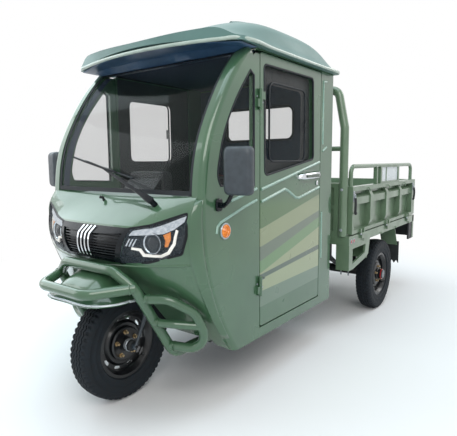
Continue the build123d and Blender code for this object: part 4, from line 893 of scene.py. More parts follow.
class AddGrille(bpy.types.Operator):
    """Adds the grille: black slats behind four bright bars that lean forward at the top."""

    bl_idname = "tricycle.add_grille"
    bl_label = "Grille"

    def execute(self, context):
        skin = Skin("front_fascia", "headlamps", "grille")
        skin.patch("grille_back", [offset_flat(GRILLE, 3)], -16, 3, "gloss_abs")
        slats = []
        for k in range(9):
            z = 732 + 13 * k
            half = 168 + (z - 722) * 54 / 144 - 4
            slats.append([(-half, z), (half, z), (half + 1.5, z + 5), (-half - 1.5, z + 5)])
        skin.patch("grille_slats", slats, -5, 11, "gloss_abs", step=16)
        brow = [(-220, 846), (-222, 868), (222, 868), (220, 846), (120, 838), (0, 834), (-120, 838)]
        brow_piece = skin.patch("grille_brow", [brow], 1.5, 12, "gloss_abs", bevel=1.5 * MM)
        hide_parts("grille")
        rims = []
        for x in (1, -1):
            side = [(x * 214, 866), (x * 241, 872), (x * 186, 708), (x * 160, 722)]
            rims.append(side if x > 0 else side[::-1])
        rims.append([(-168, 730), (168, 730), (186, 714), (-186, 714)][::-1])
        skin.patch("grille_rims", rims, 1.2, 6, "gloss_abs")
        bars = []
        for x in (-68, -42, -16, 10):
            bars.append([(x, 738), (x + 9, 735), (x + 9, 828), (x + 33, 862), (x + 22, 864), (x, 832)])
        skin.patch("grille_bars", bars, 7, 14, "chrome_plate", bevel=2 * MM)
        return {"FINISHED"}


class AddWiper(bpy.types.Operator):
    """Adds the wiper with its spindle, tapered arm, yoke and rubber blade, and the washer jet."""

    bl_idname = "tricycle.add_wiper"
    bl_label = "Wiper and washer"

    def execute(self, context):
        foot, elbow, tip = at(290, -34, 962), at(284, -56, 984), at(-95, 2, 1117)
        pipe("wiper_spindle", [[at(290, -22, 948), foot, elbow]], 13 * MM, "gloss_abs", sides=4)
        up = Vector((0, -0.8, 0.6))
        along = (tip - elbow).normalized()
        across = along.cross(up).normalized()
        rings = []
        for share, wide, thick in (
            (-0.03, 13, 9), (0.0, 17, 12), (0.10, 16, 12), (0.18, 11, 9), (0.5, 9, 7), (0.98, 6, 5),
            (1.0, 4, 3)
        ):
            spot = elbow.lerp(tip, share)
            rings.append([
                spot + across * wide * MM * a + up * thick * MM * b
                for a, b in ((-1, -0.5), (-0.8, 0.5), (0.8, 0.5), (1, -0.5))
            ])
        arm = loft("wiper_arm", rings, "gloss_abs", bevel=1.5 * MM)
        blade = [at(-345, 17, 1171), at(-230, 9, 1146), tip, at(10, -2, 1095), at(125, -6, 1072)]
        pipe("wiper_blade", [blade], 5 * MM, "seal_rubber", smooth=True)
        lifted = [p + Vector((0, -0.009, 0.006)) for p in blade[1:4]]
        pipe("wiper_yoke", [[blade[1]] + lifted + [blade[3]]], 3.5 * MM, "gloss_abs", smooth=True)
        pipe(
            "washer_jet", [[at(-70, -18, 962), at(-70, -26, 978), at(-76, -40, 982)]], 7 * MM,
            "moulded_rubber"
        )
        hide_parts("wiper")
        return {"FINISHED"}


class AddNoseTrim(bpy.types.Operator):
    """Adds the pressed ledge under the lamps and the bright strip of the mudguard."""

    bl_idname = "tricycle.add_nose_trim"
    bl_label = "Nose trim"

    def execute(self, context):
        skin = Skin("front_fascia", "headlamps", "grille")
        ledge = [skin.at(x, 690 + abs(x) * 0.085 - 8, -3) for x in range(-490, 491, 14)]
        pipe("nose_ledge", [ledge], 7 * MM, "sage_enamel", sides=4)
        guard = Skin("front_mudguard")
        low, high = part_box("front_mudguard")
        half, edge = high[0], 1000 * low[2] + 5
        shares = [k / 12 for k in range(12)] + [0.95, 0.97, 0.985]
        near = [guard.at(1000 * half * share, edge, 0) for share in shares]
        near.append(Vector((half, FRONT_AXLE_Y - 0.140, low[2] + 5 * MM)))
        strip = near[:0:-1] + [Vector((-p.x, p.y, p.z)) for p in near]
        pipe("mudguard_strip", [strip], 5.5 * MM, "bright_strip", smooth=True)
        return {"FINISHED"}


# ---------------------------------------------------------------- cab
class BodySettings(bpy.types.PropertyGroup):
    """Sizes of the cab's seals and trim."""

    seal_radius: bpy.props.FloatProperty(
        name="Seal radius", description="Half the width of the window seals", default=6 * MM, unit="LENGTH"
    )
    lip_radius: bpy.props.FloatProperty(
        name="Roof lip", description="Radius of the rolled edge of the roof", default=8.5 * MM, unit="LENGTH"
    )
    lining_thickness: bpy.props.FloatProperty(
        name="Lining", description="Thickness of the cab's inner panels", default=3 * MM, unit="LENGTH"
    )


def side_outline(pairs, x):
    """(behind the front axle, height) pairs in millimetres on a plane at x metres."""
    return [Vector((x, FRONT_AXLE_Y + a * MM, z * MM)) for a, z in pairs]


def framed_panel(name, outer, hole, push, finish_name, body="chassis"):
    """A flat panel with a window, from its outline and the window's."""
    work = bmesh.new()
    loops = []
    for outline in (outer, hole):
        spots = [work.verts.new(p) for p in outline]
        loops.append([work.edges.new((a, b)) for a, b in zip(spots, spots[1:] + spots[:1])])
    bmesh.ops.triangle_fill(work, edges=loops[0] + loops[1], use_beauty=True)
    made = bmesh.ops.extrude_face_region(work, geom=work.faces[:], use_keep_orig=True)
    for v in made["geom"]:
        if isinstance(v, bmesh.types.BMVert):
            v.co += Vector(push)
    bmesh.ops.recalc_face_normals(work, faces=work.faces)
    data = bpy.data.meshes.new(name)
    work.to_mesh(data)
    work.free()
    return place(bpy.data.objects.new(name, data), finish_name, body, smooth=30)


class AddSeals(bpy.types.Operator):
    """Adds the rubber seals round every window and the sliding panes of the doors."""

    bl_idname = "tricycle.add_seals"
    bl_label = "Window seals"

    def execute(self, context):
        radius = context.scene.tricycle_body.seal_radius
        for side, name in SIDES:
            outline = spread(cap_outlines(f"{name}_door_glass", 0, side > 0)[0], 6 * MM)
            raised = [p + mm(side * 7, 0, 0) for p in inset(outline, 2 * MM, 0)]
            pipe(f"{name}_door_seal", [raised], radius, "seal_rubber", f"{name}_door", closed=True)
            pane = rounded([(524, 1143), (524, 1522), (893, 1522), (893, 1143)], 42, 8)
            shape = side_outline(pane, side * (CAB_SIDE - 8 * MM))
            pipe(f"{name}_door_pane_frame", [shape], 5 * MM, "seal_rubber", f"{name}_door", closed=True)
            grip = side_outline([(882, 1300), (882, 1360)], side * (CAB_SIDE - 2 * MM))
            pipe(f"{name}_door_pane_grip", [grip], 5 * MM, "gloss_abs", f"{name}_door")
        runs = []
        for high in (True, False):
            outline = spread(cap_outlines("fixed_windows", 0, high)[0], 8 * MM)
            side = 1 if high else -1
            runs.append([p + mm(side * 9, 0, 0) for p in inset(outline, 2 * MM, 0)])
        pipe("quarter_seals", runs, radius, "seal_rubber", closed=True)
        rear = spread(cap_outlines("fixed_windows", 1, True)[0], 8 * MM)
        runs = [[p + mm(0, dy, 0) for p in inset(rear, 3 * MM, 1)] for dy in (10, -17)]
        pipe("rear_window_seal", runs, 8 * MM, "seal_rubber", closed=True)
        tops = [[at(side * 489, behind, 1648) for behind in (430, 1078)] for side in (-1, 1)]
        pipe("door_header_seals", tops, 6.5 * MM, "seal_rubber")
        self.add_screen_seal()
        return {"FINISHED"}

    def add_screen_seal(self):
        skin = Skin("windscreen")
        low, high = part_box("windscreen")
        half, foot, head = high[0] / MM - 1, low[2] / MM, high[2] / MM
        outlines = [
            corners(-half, foot, half, foot + 20), corners(-half, head - 16, half, head),
            corners(half - 15, foot, half, head), corners(-half, foot, 15 - half, head),
        ]
        skin.patch("windscreen_seal", outlines, 2.5, 4, "seal_rubber", step=30)


# heights in metres that are clear of the roof on either side
BELOW_ROOF, ABOVE_ROOF = 1.60, 2.2


class AddRoofTrim(bpy.types.Operator):
    """Adds the rolled roof lip with a painted highlight, pressed ribs, the brow lining in painted shade with
    its lamp, and the headlining.
    """

    bl_idname = "tricycle.add_roof_trim"
    bl_label = "Roof trim"

    def execute(self, context):
        settings = context.scene.tricycle_body
        low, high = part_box("roof")
        half, rear = high[0], high[1]
        front, corner = low[1], FRONT_AXLE_Y + 235 * MM
        lip_z = 1664 * MM
        edge = []
        for k in range(-8, 9):
            x = (half - 26 * MM) * k / 8
            edge.append((x, front + (corner - front) * (x / half) ** 2 + 2 * MM, 1666 * MM))
        flank = [(half, corner + 30 * MM, 1665 * MM)]
        flank += [(half, corner + (rear - corner) * t, lip_z) for t in (0.25, 0.5, 0.75)]
        flank += [(half, rear - 34 * MM, lip_z), (half - 12 * MM, rear - 10 * MM, lip_z)]
        flank.append((half - 36 * MM, rear, lip_z))
        far_flank = [(-x, y, z) for x, y, z in flank[::-1]]
        edge += flank + [(0, rear, lip_z)] + far_flank
        # the lip's pale colour is a painted highlight along the roof's rolled edge
        pipe(
            "roof_lip", [[Vector((x * 0.992, y, z)) for x, y, z in edge]], settings.lip_radius, "roof_lip_highlight",
            closed=True, smooth=True, sides=4
        )
        self.tree = tree_of("roof")
        ribs = []
        for x in (-330, -150, 150, 330):
            line = [self.hit(x * MM, FRONT_AXLE_Y + b * MM, ABOVE_ROOF, -1) for b in range(470, 1140, 55)]
            ribs.append([p + mm(0, 0, -5) for p in line])
        # the ribs share the roof's enamel, paler and cooler with a painted sky reflection
        pipe("roof_ribs", ribs, 12 * MM, "roof_sky_lit_enamel", smooth=True, sides=4)
        self.add_brow(settings, half, front, corner)
        self.add_headlining(settings)
        return {"FINISHED"}

    def hit(self, x, y, z, way):
        """Where a line straight up or down meets the roof."""
        return self.tree.ray_cast(Vector((x, y, z)), Vector((0, 0, way)))[0]

    def add_brow(self, settings, half, front, corner):
        rings = []
        reach = 20 * MM
        for i in range(13):
            line = []
            for k in range(-14, 15):
                x = (half - 16 * MM) * k / 14
                start = front + (corner - front) * (x / half) ** 2 + 14 * MM
                y = start + (FRONT_AXLE_Y + 368 * MM - start) * i / 12
                near = [
                    self.hit(x + dx, y + dy, BELOW_ROOF, 1)
                    for dx in (-reach, 0, reach) for dy in (-reach, 0, reach)
                ]
                line.append(Vector((x, y, min(spot.z for spot in near if spot) - 4 * MM)))
            rings.append(line)
        # a dark navy sheet under the brow: painted shade
        sheet("brow_shade_lining", rings, "brow_shade_lining", settings.lining_thickness, smooth=60)
        y = FRONT_AXLE_Y + 250 * MM
        outline = corners(-0.11, 0, 0.11, 0.035)
        lamp = [Vector((x, y + dy, self.hit(x, y, BELOW_ROOF, 1).z - 7 * MM)) for x, dy in outline]
        plate("brow_lamp", lamp, (0, 0, 6 * MM), "light_guide", bevel=3 * MM)

    def add_headlining(self, settings):
        low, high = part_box("cab_rear_wall")
        y0, y1 = FRONT_AXLE_Y + 384 * MM, low[1] - 1 * MM
        half = high[0] - 1 * MM
        rings = []
        for i in range(13):
            y = y0 + (y1 - y0) * i / 12
            line = []
            for k in range(-12, 13):
                x = half * k / 12
                dome = (1 - (k / 12) ** 4) * (1 - (2 * i / 12 - 1) ** 4)
                line.append(Vector((x, y, 1.652 + 0.035 * dome)))
            rings.append(line)
        sheet("headlining", rings, "headlining", settings.lining_thickness, smooth=60)


class AddDoorFittings(bpy.types.Operator):
    """Adds the pressed lines, chrome pull handles, locks, inner panels and arm rests of the doors."""

    bl_idname = "tricycle.add_door_fittings"
    bl_label = "Door fittings"

    def execute(self, context):
        for side, name in SIDES:
            self.add_handle(side, name)
            self.add_inner_panel(side, name)
            self.add_swages(side, name)
        return {"FINISHED"}

    def add_swages(self, side, name):
        """Pressed lines of the door, the quarter panel and the rear post, as rolled beads in a painted
        highlight.
        """
        x = side * (CAB_SIDE - 1.5 * MM)
        door = [
            [(442, 1010), (1068, 1136)],
            [(442, 950), (665, 1000), (700, 990), (785, 948), (820, 944), (1068, 990)]
        ]
        # pale beads: painted highlight along the pressed lines of the door
        pipe(
            f"{name}_door_swages", [side_outline(line, x) for line in door], 8 * MM, "swage_highlight_enamel",
            f"{name}_door"
        )
        quarter = [
            [(402, 962), (300, 938), (190, 905), (120, 884), (98, 868), (92, 840)],
            [(402, 1016), (300, 994), (196, 972)],
        ]
        seam = 1108
        post = [
            [(seam, 1240), (seam, 1600), (1150, 1604)], [(seam, 1200), (1160, 1224)],
            [(seam, 560), (seam, 840)]
        ]
        # pale beads: painted highlight along the pressed lines of the panels and post
        pipe(
            f"{name}_panel_swages", [side_outline(line, x) for line in quarter + post], 7 * MM,
            "swage_highlight_enamel"
        )

    def add_handle(self, side, name):
        body = f"{name}_door"
        low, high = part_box(f"{name}_door_handle")
        y0, y1, z = low[1], high[1], (low[2] + high[2]) / 2
        rings = []
        for share, out, tall, thick in (
            (0.0, 0, 10, 8), (0.02, 10, 12, 8), (0.07, 24, 14, 7), (0.15, 31, 16, 6), (0.5, 36, 18, 7),
            (0.8, 33, 20, 8), (0.9, 26, 21, 9), (0.98, 12, 21, 9), (1.0, 0, 21, 9),
        ):
            y = y0 + (y1 - y0) * (0.06 + 0.88 * share)
            spot = Vector((side * (CAB_SIDE + out * MM), y, z + (share - 0.5) * 6 * MM))
            slant = 0.4 * (share < 0.1)
            rings.append([
                spot + mm(side * thick * cos(a), thick * slant * sin(a), tall * sin(a)) for a in turns(16)
            ])
        grip = loft(f"{name}_door_grip", rings, "chrome_plate", body, smooth=60)
        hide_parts(f"{name}_door_handle")
        start, end = y0 + 0.2 * (y1 - y0), y0 + 0.74 * (y1 - y0)
        # a dark plate inside the grip: painted shade under the bow
        face = rounded([(start, -9), (start, 7), (end, 11), (end, -9)], 8)
        grip_shade_face = [Vector((side * (CAB_SIDE + 33 * MM), y, z + rise * MM)) for y, rise in face]
        plate(
            f"{name}_door_grip_shade", grip_shade_face, (side * 10.5 * MM, 0, 0), "grip_painted_shade", body,
            bevel=2 * MM
        )
        pocket = rounded([(812, 1034), (812, 1092), (1038, 1092), (1038, 1034)], 24, 6)
        shape = side_outline(pocket, side * (CAB_SIDE - 1 * MM))
        plate(f"{name}_handle_plate", shape, (side * 3.5 * MM, 0, 0), "sage_enamel", body, bevel=1.5 * MM)
        spot = Vector((side * (CAB_SIDE + 2 * MM), FRONT_AXLE_Y + 1035 * MM, z - 46 * MM))
        barrel = [(13, 0), (13, 3), (10, 5), (2, 5)]
        lathe(f"{name}_door_lock", barrel, spot, (side, 0, 0), "chrome_plate", body, steps=24)

    def add_inner_panel(self, side, name):
        x = side * (CAB_SIDE - 31.5 * MM)
        hole = side_outline(rounded([(530, 1149), (530, 1516), (887, 1516), (887, 1149)], 38, 8), x)
        outer = side_outline(rounded([(440, 340), (440, 1638), (1067, 1638), (1067, 340)], 14), x)
        framed_panel(
            f"{name}_door_inner_panel", outer, hole, (side * 1.2 * MM, 0, 0), "dash_abs", f"{name}_door"
        )
        rest = side_outline(
            rounded([(560, 900), (560, 950), (960, 950), (960, 900)], 20), side * (CAB_SIDE - 32 * MM)
        )
        plate(
            f"{name}_door_arm_rest", rest, (-side * 38 * MM, 0, 0), "dash_abs", f"{name}_door",
            bevel=10 * MM
        )


class AddCabTrim(bpy.types.Operator):
    """Adds the rear wall's lining, the front pillars' mouldings and the cheeks beside the nose."""

    bl_idname = "tricycle.add_cab_trim"
    bl_label = "Cab linings and cheeks"

    def execute(self, context):
        low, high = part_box("cab_rear_wall")
        y = low[1] - 1.5 * MM
        rear = spread(cap_outlines("fixed_windows", 1, True)[0], 14 * MM)
        hole = [Vector((p.x, y, p.z)) for p in inset(rear, -4 * MM, 1)]
        outer = upright(y, corners(low[0] + 2 * MM, 0.62, high[0] - 2 * MM, 1.64))
        framed_panel("rear_wall_lining", outer, hole, (0, 1.2 * MM, 0), "headlining")
        self.add_cheeks()
        self.add_pillar_trims()
        return {"FINISHED"}

    def add_pillar_trims(self):
        """The dark moulding inside each front pillar, from the windscreen's edge back into the cab."""
        skin = Skin("windscreen")
        low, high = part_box("windscreen")
        for side, name in SIDES:
            rings = []
            for k in range(25):
                z = low[2] / MM + 12 + ((high[2] - low[2]) / MM - 16) * k / 24
                edge = skin.at(side * (high[0] / MM - 6), z, -18)
                depth, wall = mm(0, 34, 0), mm(-side * 3, 0, 0)
                rings.append([edge, edge + depth, edge + depth + wall, edge + wall])
            loft(f"pillar_trim_{name}", rings, "headlining", smooth=40)

    def add_cheeks(self):
        """The rounded sheet that carries the nose's edge round onto the front pillar."""
        skin, post = Skin("front_fascia", "headlamps"), Skin("front_pillars")
        for side, name in SIDES:
            rings = []
            for k in range(24):
                z = 350 + (990 - 350) * k / 23
                start = skin.at(side * 492, z, 0.6)
                end = post.at(side * 521, z, 0.8)
                start.x = side * 0.496
                end.y = max(end.y, start.y + 6 * MM)
                middle = Vector((side * 0.5155, start.y + (end.y - start.y) * 0.35, z * MM))
                shares = [i / 6 for i in range(7)]
                rings.append([start * (1 - t) ** 2 + middle * 2 * t * (1 - t) + end * t ** 2 for t in shares])
            sheet(f"nose_cheek_{name}", rings, "sage_enamel", 1.2 * MM, smooth=60)


class AddMirrors(bpy.types.Operator):
    """Adds the mirrors: grained shells with rounded edges, their glass, jointed stems and bases."""

    bl_idname = "tricycle.add_mirrors"
    bl_label = "Mirrors"

    def execute(self, context):
        shell_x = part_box("mirrors")[1][0] - 56 * MM
        for side, name in SIDES:
            self.add_shell(side, name, shell_x)
            foot = Vector((side * CAB_SIDE, FRONT_AXLE_Y + 104 * MM, 0.962))
            base = rounded([(84, 935), (84, 990), (126, 990), (126, 935)], 18, 6)
            plate(
                f"mirror_base_{name}", side_outline(base, side * CAB_SIDE), (side * 11 * MM, 0, 0),
                "gloss_abs", bevel=4 * MM
            )
            knee = foot + mm(side * 34, -2, 0)
            pipe(f"mirror_stem_{name}", [[foot + mm(side * 8, 0, 0), knee]], 12 * MM, "gloss_abs", sides=4)
            rise = [
                knee, knee + mm(side * 24, -8, 14),
                Vector((side * (shell_x - 22 * MM), FRONT_AXLE_Y + 90 * MM, 1.03))
            ]
            pipe(f"mirror_arm_{name}", [rise], 9 * MM, "gloss_abs", smooth=True, sides=4)
        return {"FINISHED"}

    def add_shell(self, side, name, x):
        centre = Vector((side * x, FRONT_AXLE_Y + 90 * MM, 1.106))
        turn = Matrix.Rotation(side * radians(18), 3, "Z")
        rings = []
        for y, wide, tall, corner in (
            (-22, 42, 74, 20), (-20, 51, 87, 26), (-12, 58, 95, 26), (4, 62, 99, 26), (18, 62, 99, 24),
            (21, 60, 97, 24),
            (21, 56, 93, 22), (15, 55, 92, 22),
        ):
            outline = rounded(corners(-wide, -tall, wide, tall), corner, 6)
            rings.append([centre + turn @ mm(a, y, b) for a, b in outline])
        shell = loft(f"mirror_shell_{name}", rings, "grained_abs", smooth=60)
        if side > 0:
            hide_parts("mirrors")
        outline = rounded(corners(-55, -92, 55, 92), 22, 6)
        glass = [centre + turn @ mm(a, 17, b) for a, b in outline]
        plate(f"mirror_glass_{name}", glass, turn @ mm(0, 1.5, 0), "mirror_glass", bevel=0.5 * MM)


class AddSideMarkers(bpy.types.Operator):
    """Adds the round amber side markers with ribbed lenses and zinc bezels."""

    bl_idname = "tricycle.add_side_markers"
    bl_label = "Side markers"

    def execute(self, context):
        low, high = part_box("side_markers")
        y, z = (low[1] + high[1]) / 2, (low[2] + high[2]) / 2
        reach = (high[2] - low[2]) / 2 / MM
        bezel = [(reach, 0), (reach, 5), (reach - 3, 8), (reach - 6, 7), (reach - 6, 0)]
        profile = [(reach - 5, 2), (reach - 7, 8)]
        for k in range(7):
            radius = (reach - 8) * (1 - (k + 0.5) / 7.5)
            dome = 13 - 6 * (radius / reach) ** 2
            profile += [(radius + 1.6, dome - 1.4), (radius, dome + 1.2)]
        profile.append((0.5, 14.5))
        for side, name in SIDES:
            spot, out = Vector((side * CAB_SIDE, y, z)), (side, 0, 0)
            lathe(f"side_marker_bezel_{name}", bezel, spot, out, "zinc_plate", steps=40)
            lens = lathe(f"side_marker_lens_{name}", profile, spot, out, "amber_acrylic", steps=24, smooth=20)
            if side > 0:
                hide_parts("side_markers")
        return {"FINISHED"}


# ---------------------------------------------------------------- interior
class SeatSettings(bpy.types.PropertyGroup):
    """How the bench's padding is stuffed and sewn."""

    pressure: bpy.props.FloatProperty(
        name="Stuffing pressure", description="Pressure that swells the padding", default=4.0
    )
    swell_cap: bpy.props.FloatProperty(
        name="Swell", description="How far the cover may move as it is stuffed", default=0.024, unit="LENGTH"
    )
    channel_spacing: bpy.props.FloatProperty(
        name="Channel spacing", description="Distance between sewn channels", default=0.132, unit="LENGTH"
    )
    channel_depth: bpy.props.FloatProperty(
        name="Channel depth", description="How deep the stitching pulls in", default=8 * MM, unit="LENGTH"
    )


class AddSeat(bpy.types.Operator):
    """Adds the bench's stuffed vinyl cushion and backrest with their channels and piping."""

    bl_idname = "tricycle.add_seat"
    bl_label = "Bench seat"

    def execute(self, context):
        settings = context.scene.tricycle_seat
        for node_name, facing in (("seat_cushion", Vector((0, 0, 1))), ("seat_backrest", Vector((0, -1, 0)))):
            cover = self.stuffed(context, settings, node_name, facing)
            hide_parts(node_name)
            self.add_piping(cover, node_name, facing)
        return {"FINISHED"}

    def starting_shape(self, settings, low, high):
        """A rounded box a little smaller than the finished cushion, in even small faces."""
        work = bmesh.new()
        bmesh.ops.create_cube(work, size=1.0)
        slack = settings.swell_cap * 0.45
        for v in work.verts:
            for axis in range(3):
                middle, half = (low[axis] + high[axis]) / 2, (high[axis] - low[axis]) / 2 - slack
                v.co[axis] = middle + 2 * v.co[axis] * half
        bmesh.ops.bevel(work, geom=work.edges[:], offset=26 * MM, segments=5, affect="EDGES", profile=0.5)
        data = bpy.data.meshes.new("bench stuffing")
        work.to_mesh(data)
        work.free()
        return data

    def stuffed(self, context, settings, node_name, facing):
        low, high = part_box(node_name)
        data = self.starting_shape(settings, low, high)
        piece = bpy.data.objects.new(f"{node_name}_cover", data)
        place(piece, "seat_vinyl")
        even = piece.modifiers.new("even faces", "REMESH")
        even.mode = "VOXEL"
        even.voxel_size = 6 * MM
        self.settle(context, piece)
        start = [v.co.copy() for v in piece.data.vertices]
        cloth = piece.modifiers.new("stuffing", "CLOTH")
        cloth.settings.use_pressure = True
        cloth.settings.uniform_pressure_force = settings.pressure
        cloth.settings.effector_weights.gravity = 0
        for frame_number in range(1, 21):
            context.scene.frame_set(frame_number)
        self.settle(context, piece)
        context.scene.frame_set(1)
        axis = max(range(3), key=lambda i: abs(facing[i]))
        floor = low[axis] if facing[axis] > 0 else high[axis]
        piece.data.update()
        normals = [v.normal.copy() for v in piece.data.vertices]
        lines = [k * settings.channel_spacing for k in (-2, -1, 0, 1, 2)]
        for v, first, normal in zip(piece.data.vertices, start, normals):
            step = v.co - first
            if step.length > settings.swell_cap:
                v.co = first + step.normalized() * settings.swell_cap
            out = max(0.0, normal.dot(facing))
            pull = sum(exp(-(((v.co.x - line) / (9 * MM)) ** 2)) for line in lines)
            v.co -= facing * settings.channel_depth * pull * out
            for i in range(3):
                room = 6 * MM if i == axis else 0.0
                v.co[i] = min(
                    max(v.co[i], low[i] - (room if facing[i] < 0 else 0)),
                    high[i] + (room if facing[i] > 0 else 0)
                )
            if abs(v.co[axis] - floor) < 6 * MM:
                v.co[axis] = floor
        soft = piece.modifiers.new("smooth cover", "SUBSURF")
        soft.levels = soft.render_levels = 1
        self.settle(context, piece)
        piece.data.shade_smooth()
        return piece

    @staticmethod
    def settle(context, piece):
        """Turns what the modifiers make into the piece's own mesh."""
        context.view_layer.update()
        made = bpy.data.meshes.new_from_object(piece.evaluated_get(context.evaluated_depsgraph_get()))
        piece.modifiers.clear()
        piece.data = made

    def add_piping(self, cover, node_name, facing):
        """The welt round the cushion's face, laid on the cover."""
        low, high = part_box(node_name)
        data = cover.data
        tree = BVHTree.FromPolygons([v.co.copy() for v in data.vertices], [f.vertices for f in data.polygons])
        if facing.z > 0:
            spans, depth = ((low[0], high[0]), (low[1], high[1])), high[2] - 16 * MM
        else:
            spans, depth = ((low[0], high[0]), (low[2], high[2])), low[1] + 16 * MM
        (x0, x1), (v0, v1) = spans
        line = rounded(corners(x0, v0, x1, v1, 12 * MM), 40 * MM, 6)
        run = []
        for index, (u, v) in enumerate(line):
            after = line[(index + 1) % len(line)]
            pieces = max(1, round(((after[0] - u) ** 2 + (after[1] - v) ** 2) ** 0.5 / (25 * MM)))
            for k in range(pieces):
                share = k / pieces
                a, b = u + (after[0] - u) * share, v + (after[1] - v) * share
                spot = Vector((a, b, depth)) if facing.z > 0 else Vector((a, depth, b))
                run.append(tree.find_nearest(spot)[0])
        pipe(f"{node_name}_piping", [run], 3.5 * MM, "maroon_piping", closed=True)


class AddDashDetails(bpy.types.Operator):
    """Adds the dashboard's display, vents and switches, the handlebar's controls, the pedal and the mat."""

    bl_idname = "tricycle.add_dash_details"
    bl_label = "Dashboard and controls"

    def execute(self, context):
        self.add_dash()
        self.add_handlebar()
        self.add_floor_parts()
        return {"FINISHED"}

    def land(self, node_name, start, way):
        """Where a line from start meets a CAD node, or start itself where it misses."""
        spot = tree_of(node_name).ray_cast(Vector(start), Vector(way))[0]
        return spot if spot is not None else Vector(start)

    def add_dash(self):
        low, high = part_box("dashboard")
        face_y = high[1]
        half = 105
        top = self.land("dashboard", (0, FRONT_AXLE_Y + 0.195, 1.3), (0, 0, -1)).z
        y = self.land("dashboard", (0, FRONT_AXLE_Y + 0.4, top - 0.045), (0, -1, 0)).y
        hood = rounded([(-half - 25, -130), (half + 25, -130), (half + 10, 22), (-half - 10, 22)], 24, 5)
        outline = [Vector((x * MM, y + 22 * MM, top + z * MM)) for x, z in hood]
        plate("display_hood", outline, (0, -70 * MM, 0), "dash_abs", bevel=8 * MM)
        screen = rounded(corners(-half, -100, half, 0), 14, 4)
        outline = [Vector((x * MM, y + 21.5 * MM, top + z * MM)) for x, z in screen]
        plate("display_screen", outline, (0, 2 * MM, 0), "display_glass", bevel=1 * MM)
        for side, name in SIDES:
            for k in range(2):
                x, z = side * (0.25 + 0.14 * k), low[2] + 0.12
                spot = self.land("dashboard", (x, face_y + 0.3, z), (0, -1, 0))
                if k == 0:
                    rim = [(40, 0), (40, 6), (33, 7), (31, 1)]
                    lathe(f"vent_rim_{name}", rim, spot, (0, 1, 0), "gloss_abs", steps=36)
                    widths = ((-20, 22), (-10, 28), (0, 30), (10, 28), (20, 22))
                    slats = [[spot + mm(-w, 3, h), spot + mm(w, 3, h)] for h, w in widths]
                    pipe(f"vent_slats_{name}", slats, 2.2 * MM, "gloss_abs")
                else:
                    for j in range(3):
                        corner = spot + mm(-45 + 32 * j, -4, -12)
                        block(
                            f"rocker_{name}_{j}", corner, corner + mm(26, 11, 22), "gloss_abs", bevel=3 * MM
                        )
        shelf = upright(
            face_y - 1 * MM, corners(low[0] + 0.03, low[2] + 0.006, high[0] - 0.03, low[2] + 0.018)
        )
        plate("dash_shelf_lip", shelf, (0, 10 * MM, 0), "gloss_abs", bevel=3 * MM)

    def add_handlebar(self):
        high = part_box("handlebar")[1]
        grip_z, bar_y = high[2] - 11 * MM, high[1] - 11 * MM - 90 * MM
        for side, name in SIDES:
            outer = Vector((high[0] * side * 0.985, bar_y + 90 * MM, grip_z))
            inner = Vector((side * 0.195, bar_y + 42 * MM, grip_z))
            way = (outer - inner).normalized()
            rings = [(13, 0), (17, 2), (17, 8)]
            for k in range(9):
                rings += [(16.5, 12 + 10 * k), (15, 15 + 10 * k), (15, 18 + 10 * k), (16.5, 21 + 10 * k)]
            rings += [(17.5, 104), (17.5, 112), (3, 115)]
            lathe(f"grip_{name}", rings, inner, way, "moulded_rubber", "steering", steps=28)
            lever = [
                inner + mm(-side * 8, 0, 0), inner + mm(side * 4, -38, -6),
                inner + way * 0.07 + mm(0, -52, -10), outer + Vector((side * -6 * MM, -46 * MM, -12 * MM))
            ]
            pipe(f"brake_lever_{name}", [lever], 5.5 * MM, "cast_aluminium", "steering", smooth=True)
            clamp = inner - way * 0.03
            lathe(
                f"switch_pod_{name}", [(12, -18), (21, -15), (22, 15), (13, 20)], clamp, way, "gloss_abs",
                "steering", steps=24
            )
            bolts(
                f"switch_buttons_{name}", [clamp + mm(0, 14, 17) + way * d * MM for d in (-7, 6)],
                (0, 0.6, 0.8), 4 * MM, "amber_acrylic", "steering"
            )
        stem = Vector((0, bar_y, grip_z - 70 * MM))
        lathe(
            "bar_clamp", [(18, -38), (20, -36), (20, 36), (18, 38)], stem, (1, 0, 0), "cast_aluminium",
            "steering", steps=28
        )
        bolts(
            "bar_clamp_bolts", [stem + mm(x, 4, 19) for x in (-26, 26)], (0, 0.2, 1), 5 * MM, "zinc_plate",
            "steering"
        )

    def add_floor_parts(self):
        top = self.land("cab_floor", (0.3, FRONT_AXLE_Y + 0.62, 0.9), (0, 0, -1)).z
        mat = [at(x, b, top / MM + 0.5) for x, b in rounded(corners(-480, 350, 480, 805), 18, 4)]
        plate("floor_mat", mat, (0, 0, 6 * MM), "mat_rubber", bevel=2 * MM)
        ribs = []
        for k in range(24):
            y = FRONT_AXLE_Y + (366 + k * 18.4) * MM
            ribs.append([Vector((-0.465, y, top + 6.5 * MM)), Vector((0.465, y, top + 6.5 * MM))])
        pipe("floor_mat_ribs", ribs, 2.4 * MM, "mat_rubber")
        pad = Vector((-0.30, FRONT_AXLE_Y + 0.36, top + 0.075))
        lean = Vector((0, -0.55, 0.83)).normalized()
        outline = rounded(corners(-38, -55, 38, 55), 12, 4)
        shape = [pad + mm(x, 0, 0) + lean * (h * MM) for x, h in outline]
        plate("brake_pedal_pad", shape, (0, 7 * MM, 4 * MM), "moulded_rubber", bevel=2 * MM)
        pipe(
            "brake_pedal_arm",
            [[pad + Vector((0, 0, -0.01)), pad + Vector((0, -0.05, 0.05)), pad + Vector((0, -0.05, 0.16))]],
            8 * MM, "black_powder_coat"
        )
        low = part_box("seat_base")[0]
        seam = [upright(low[1] - 0.5 * MM, corners(x0, 0.36, x0 + 0.3, 0.56)) for x0 in (-0.345, 0.045)]
        pipe("seat_base_hatches", seam, 4 * MM, "gloss_abs", closed=True)


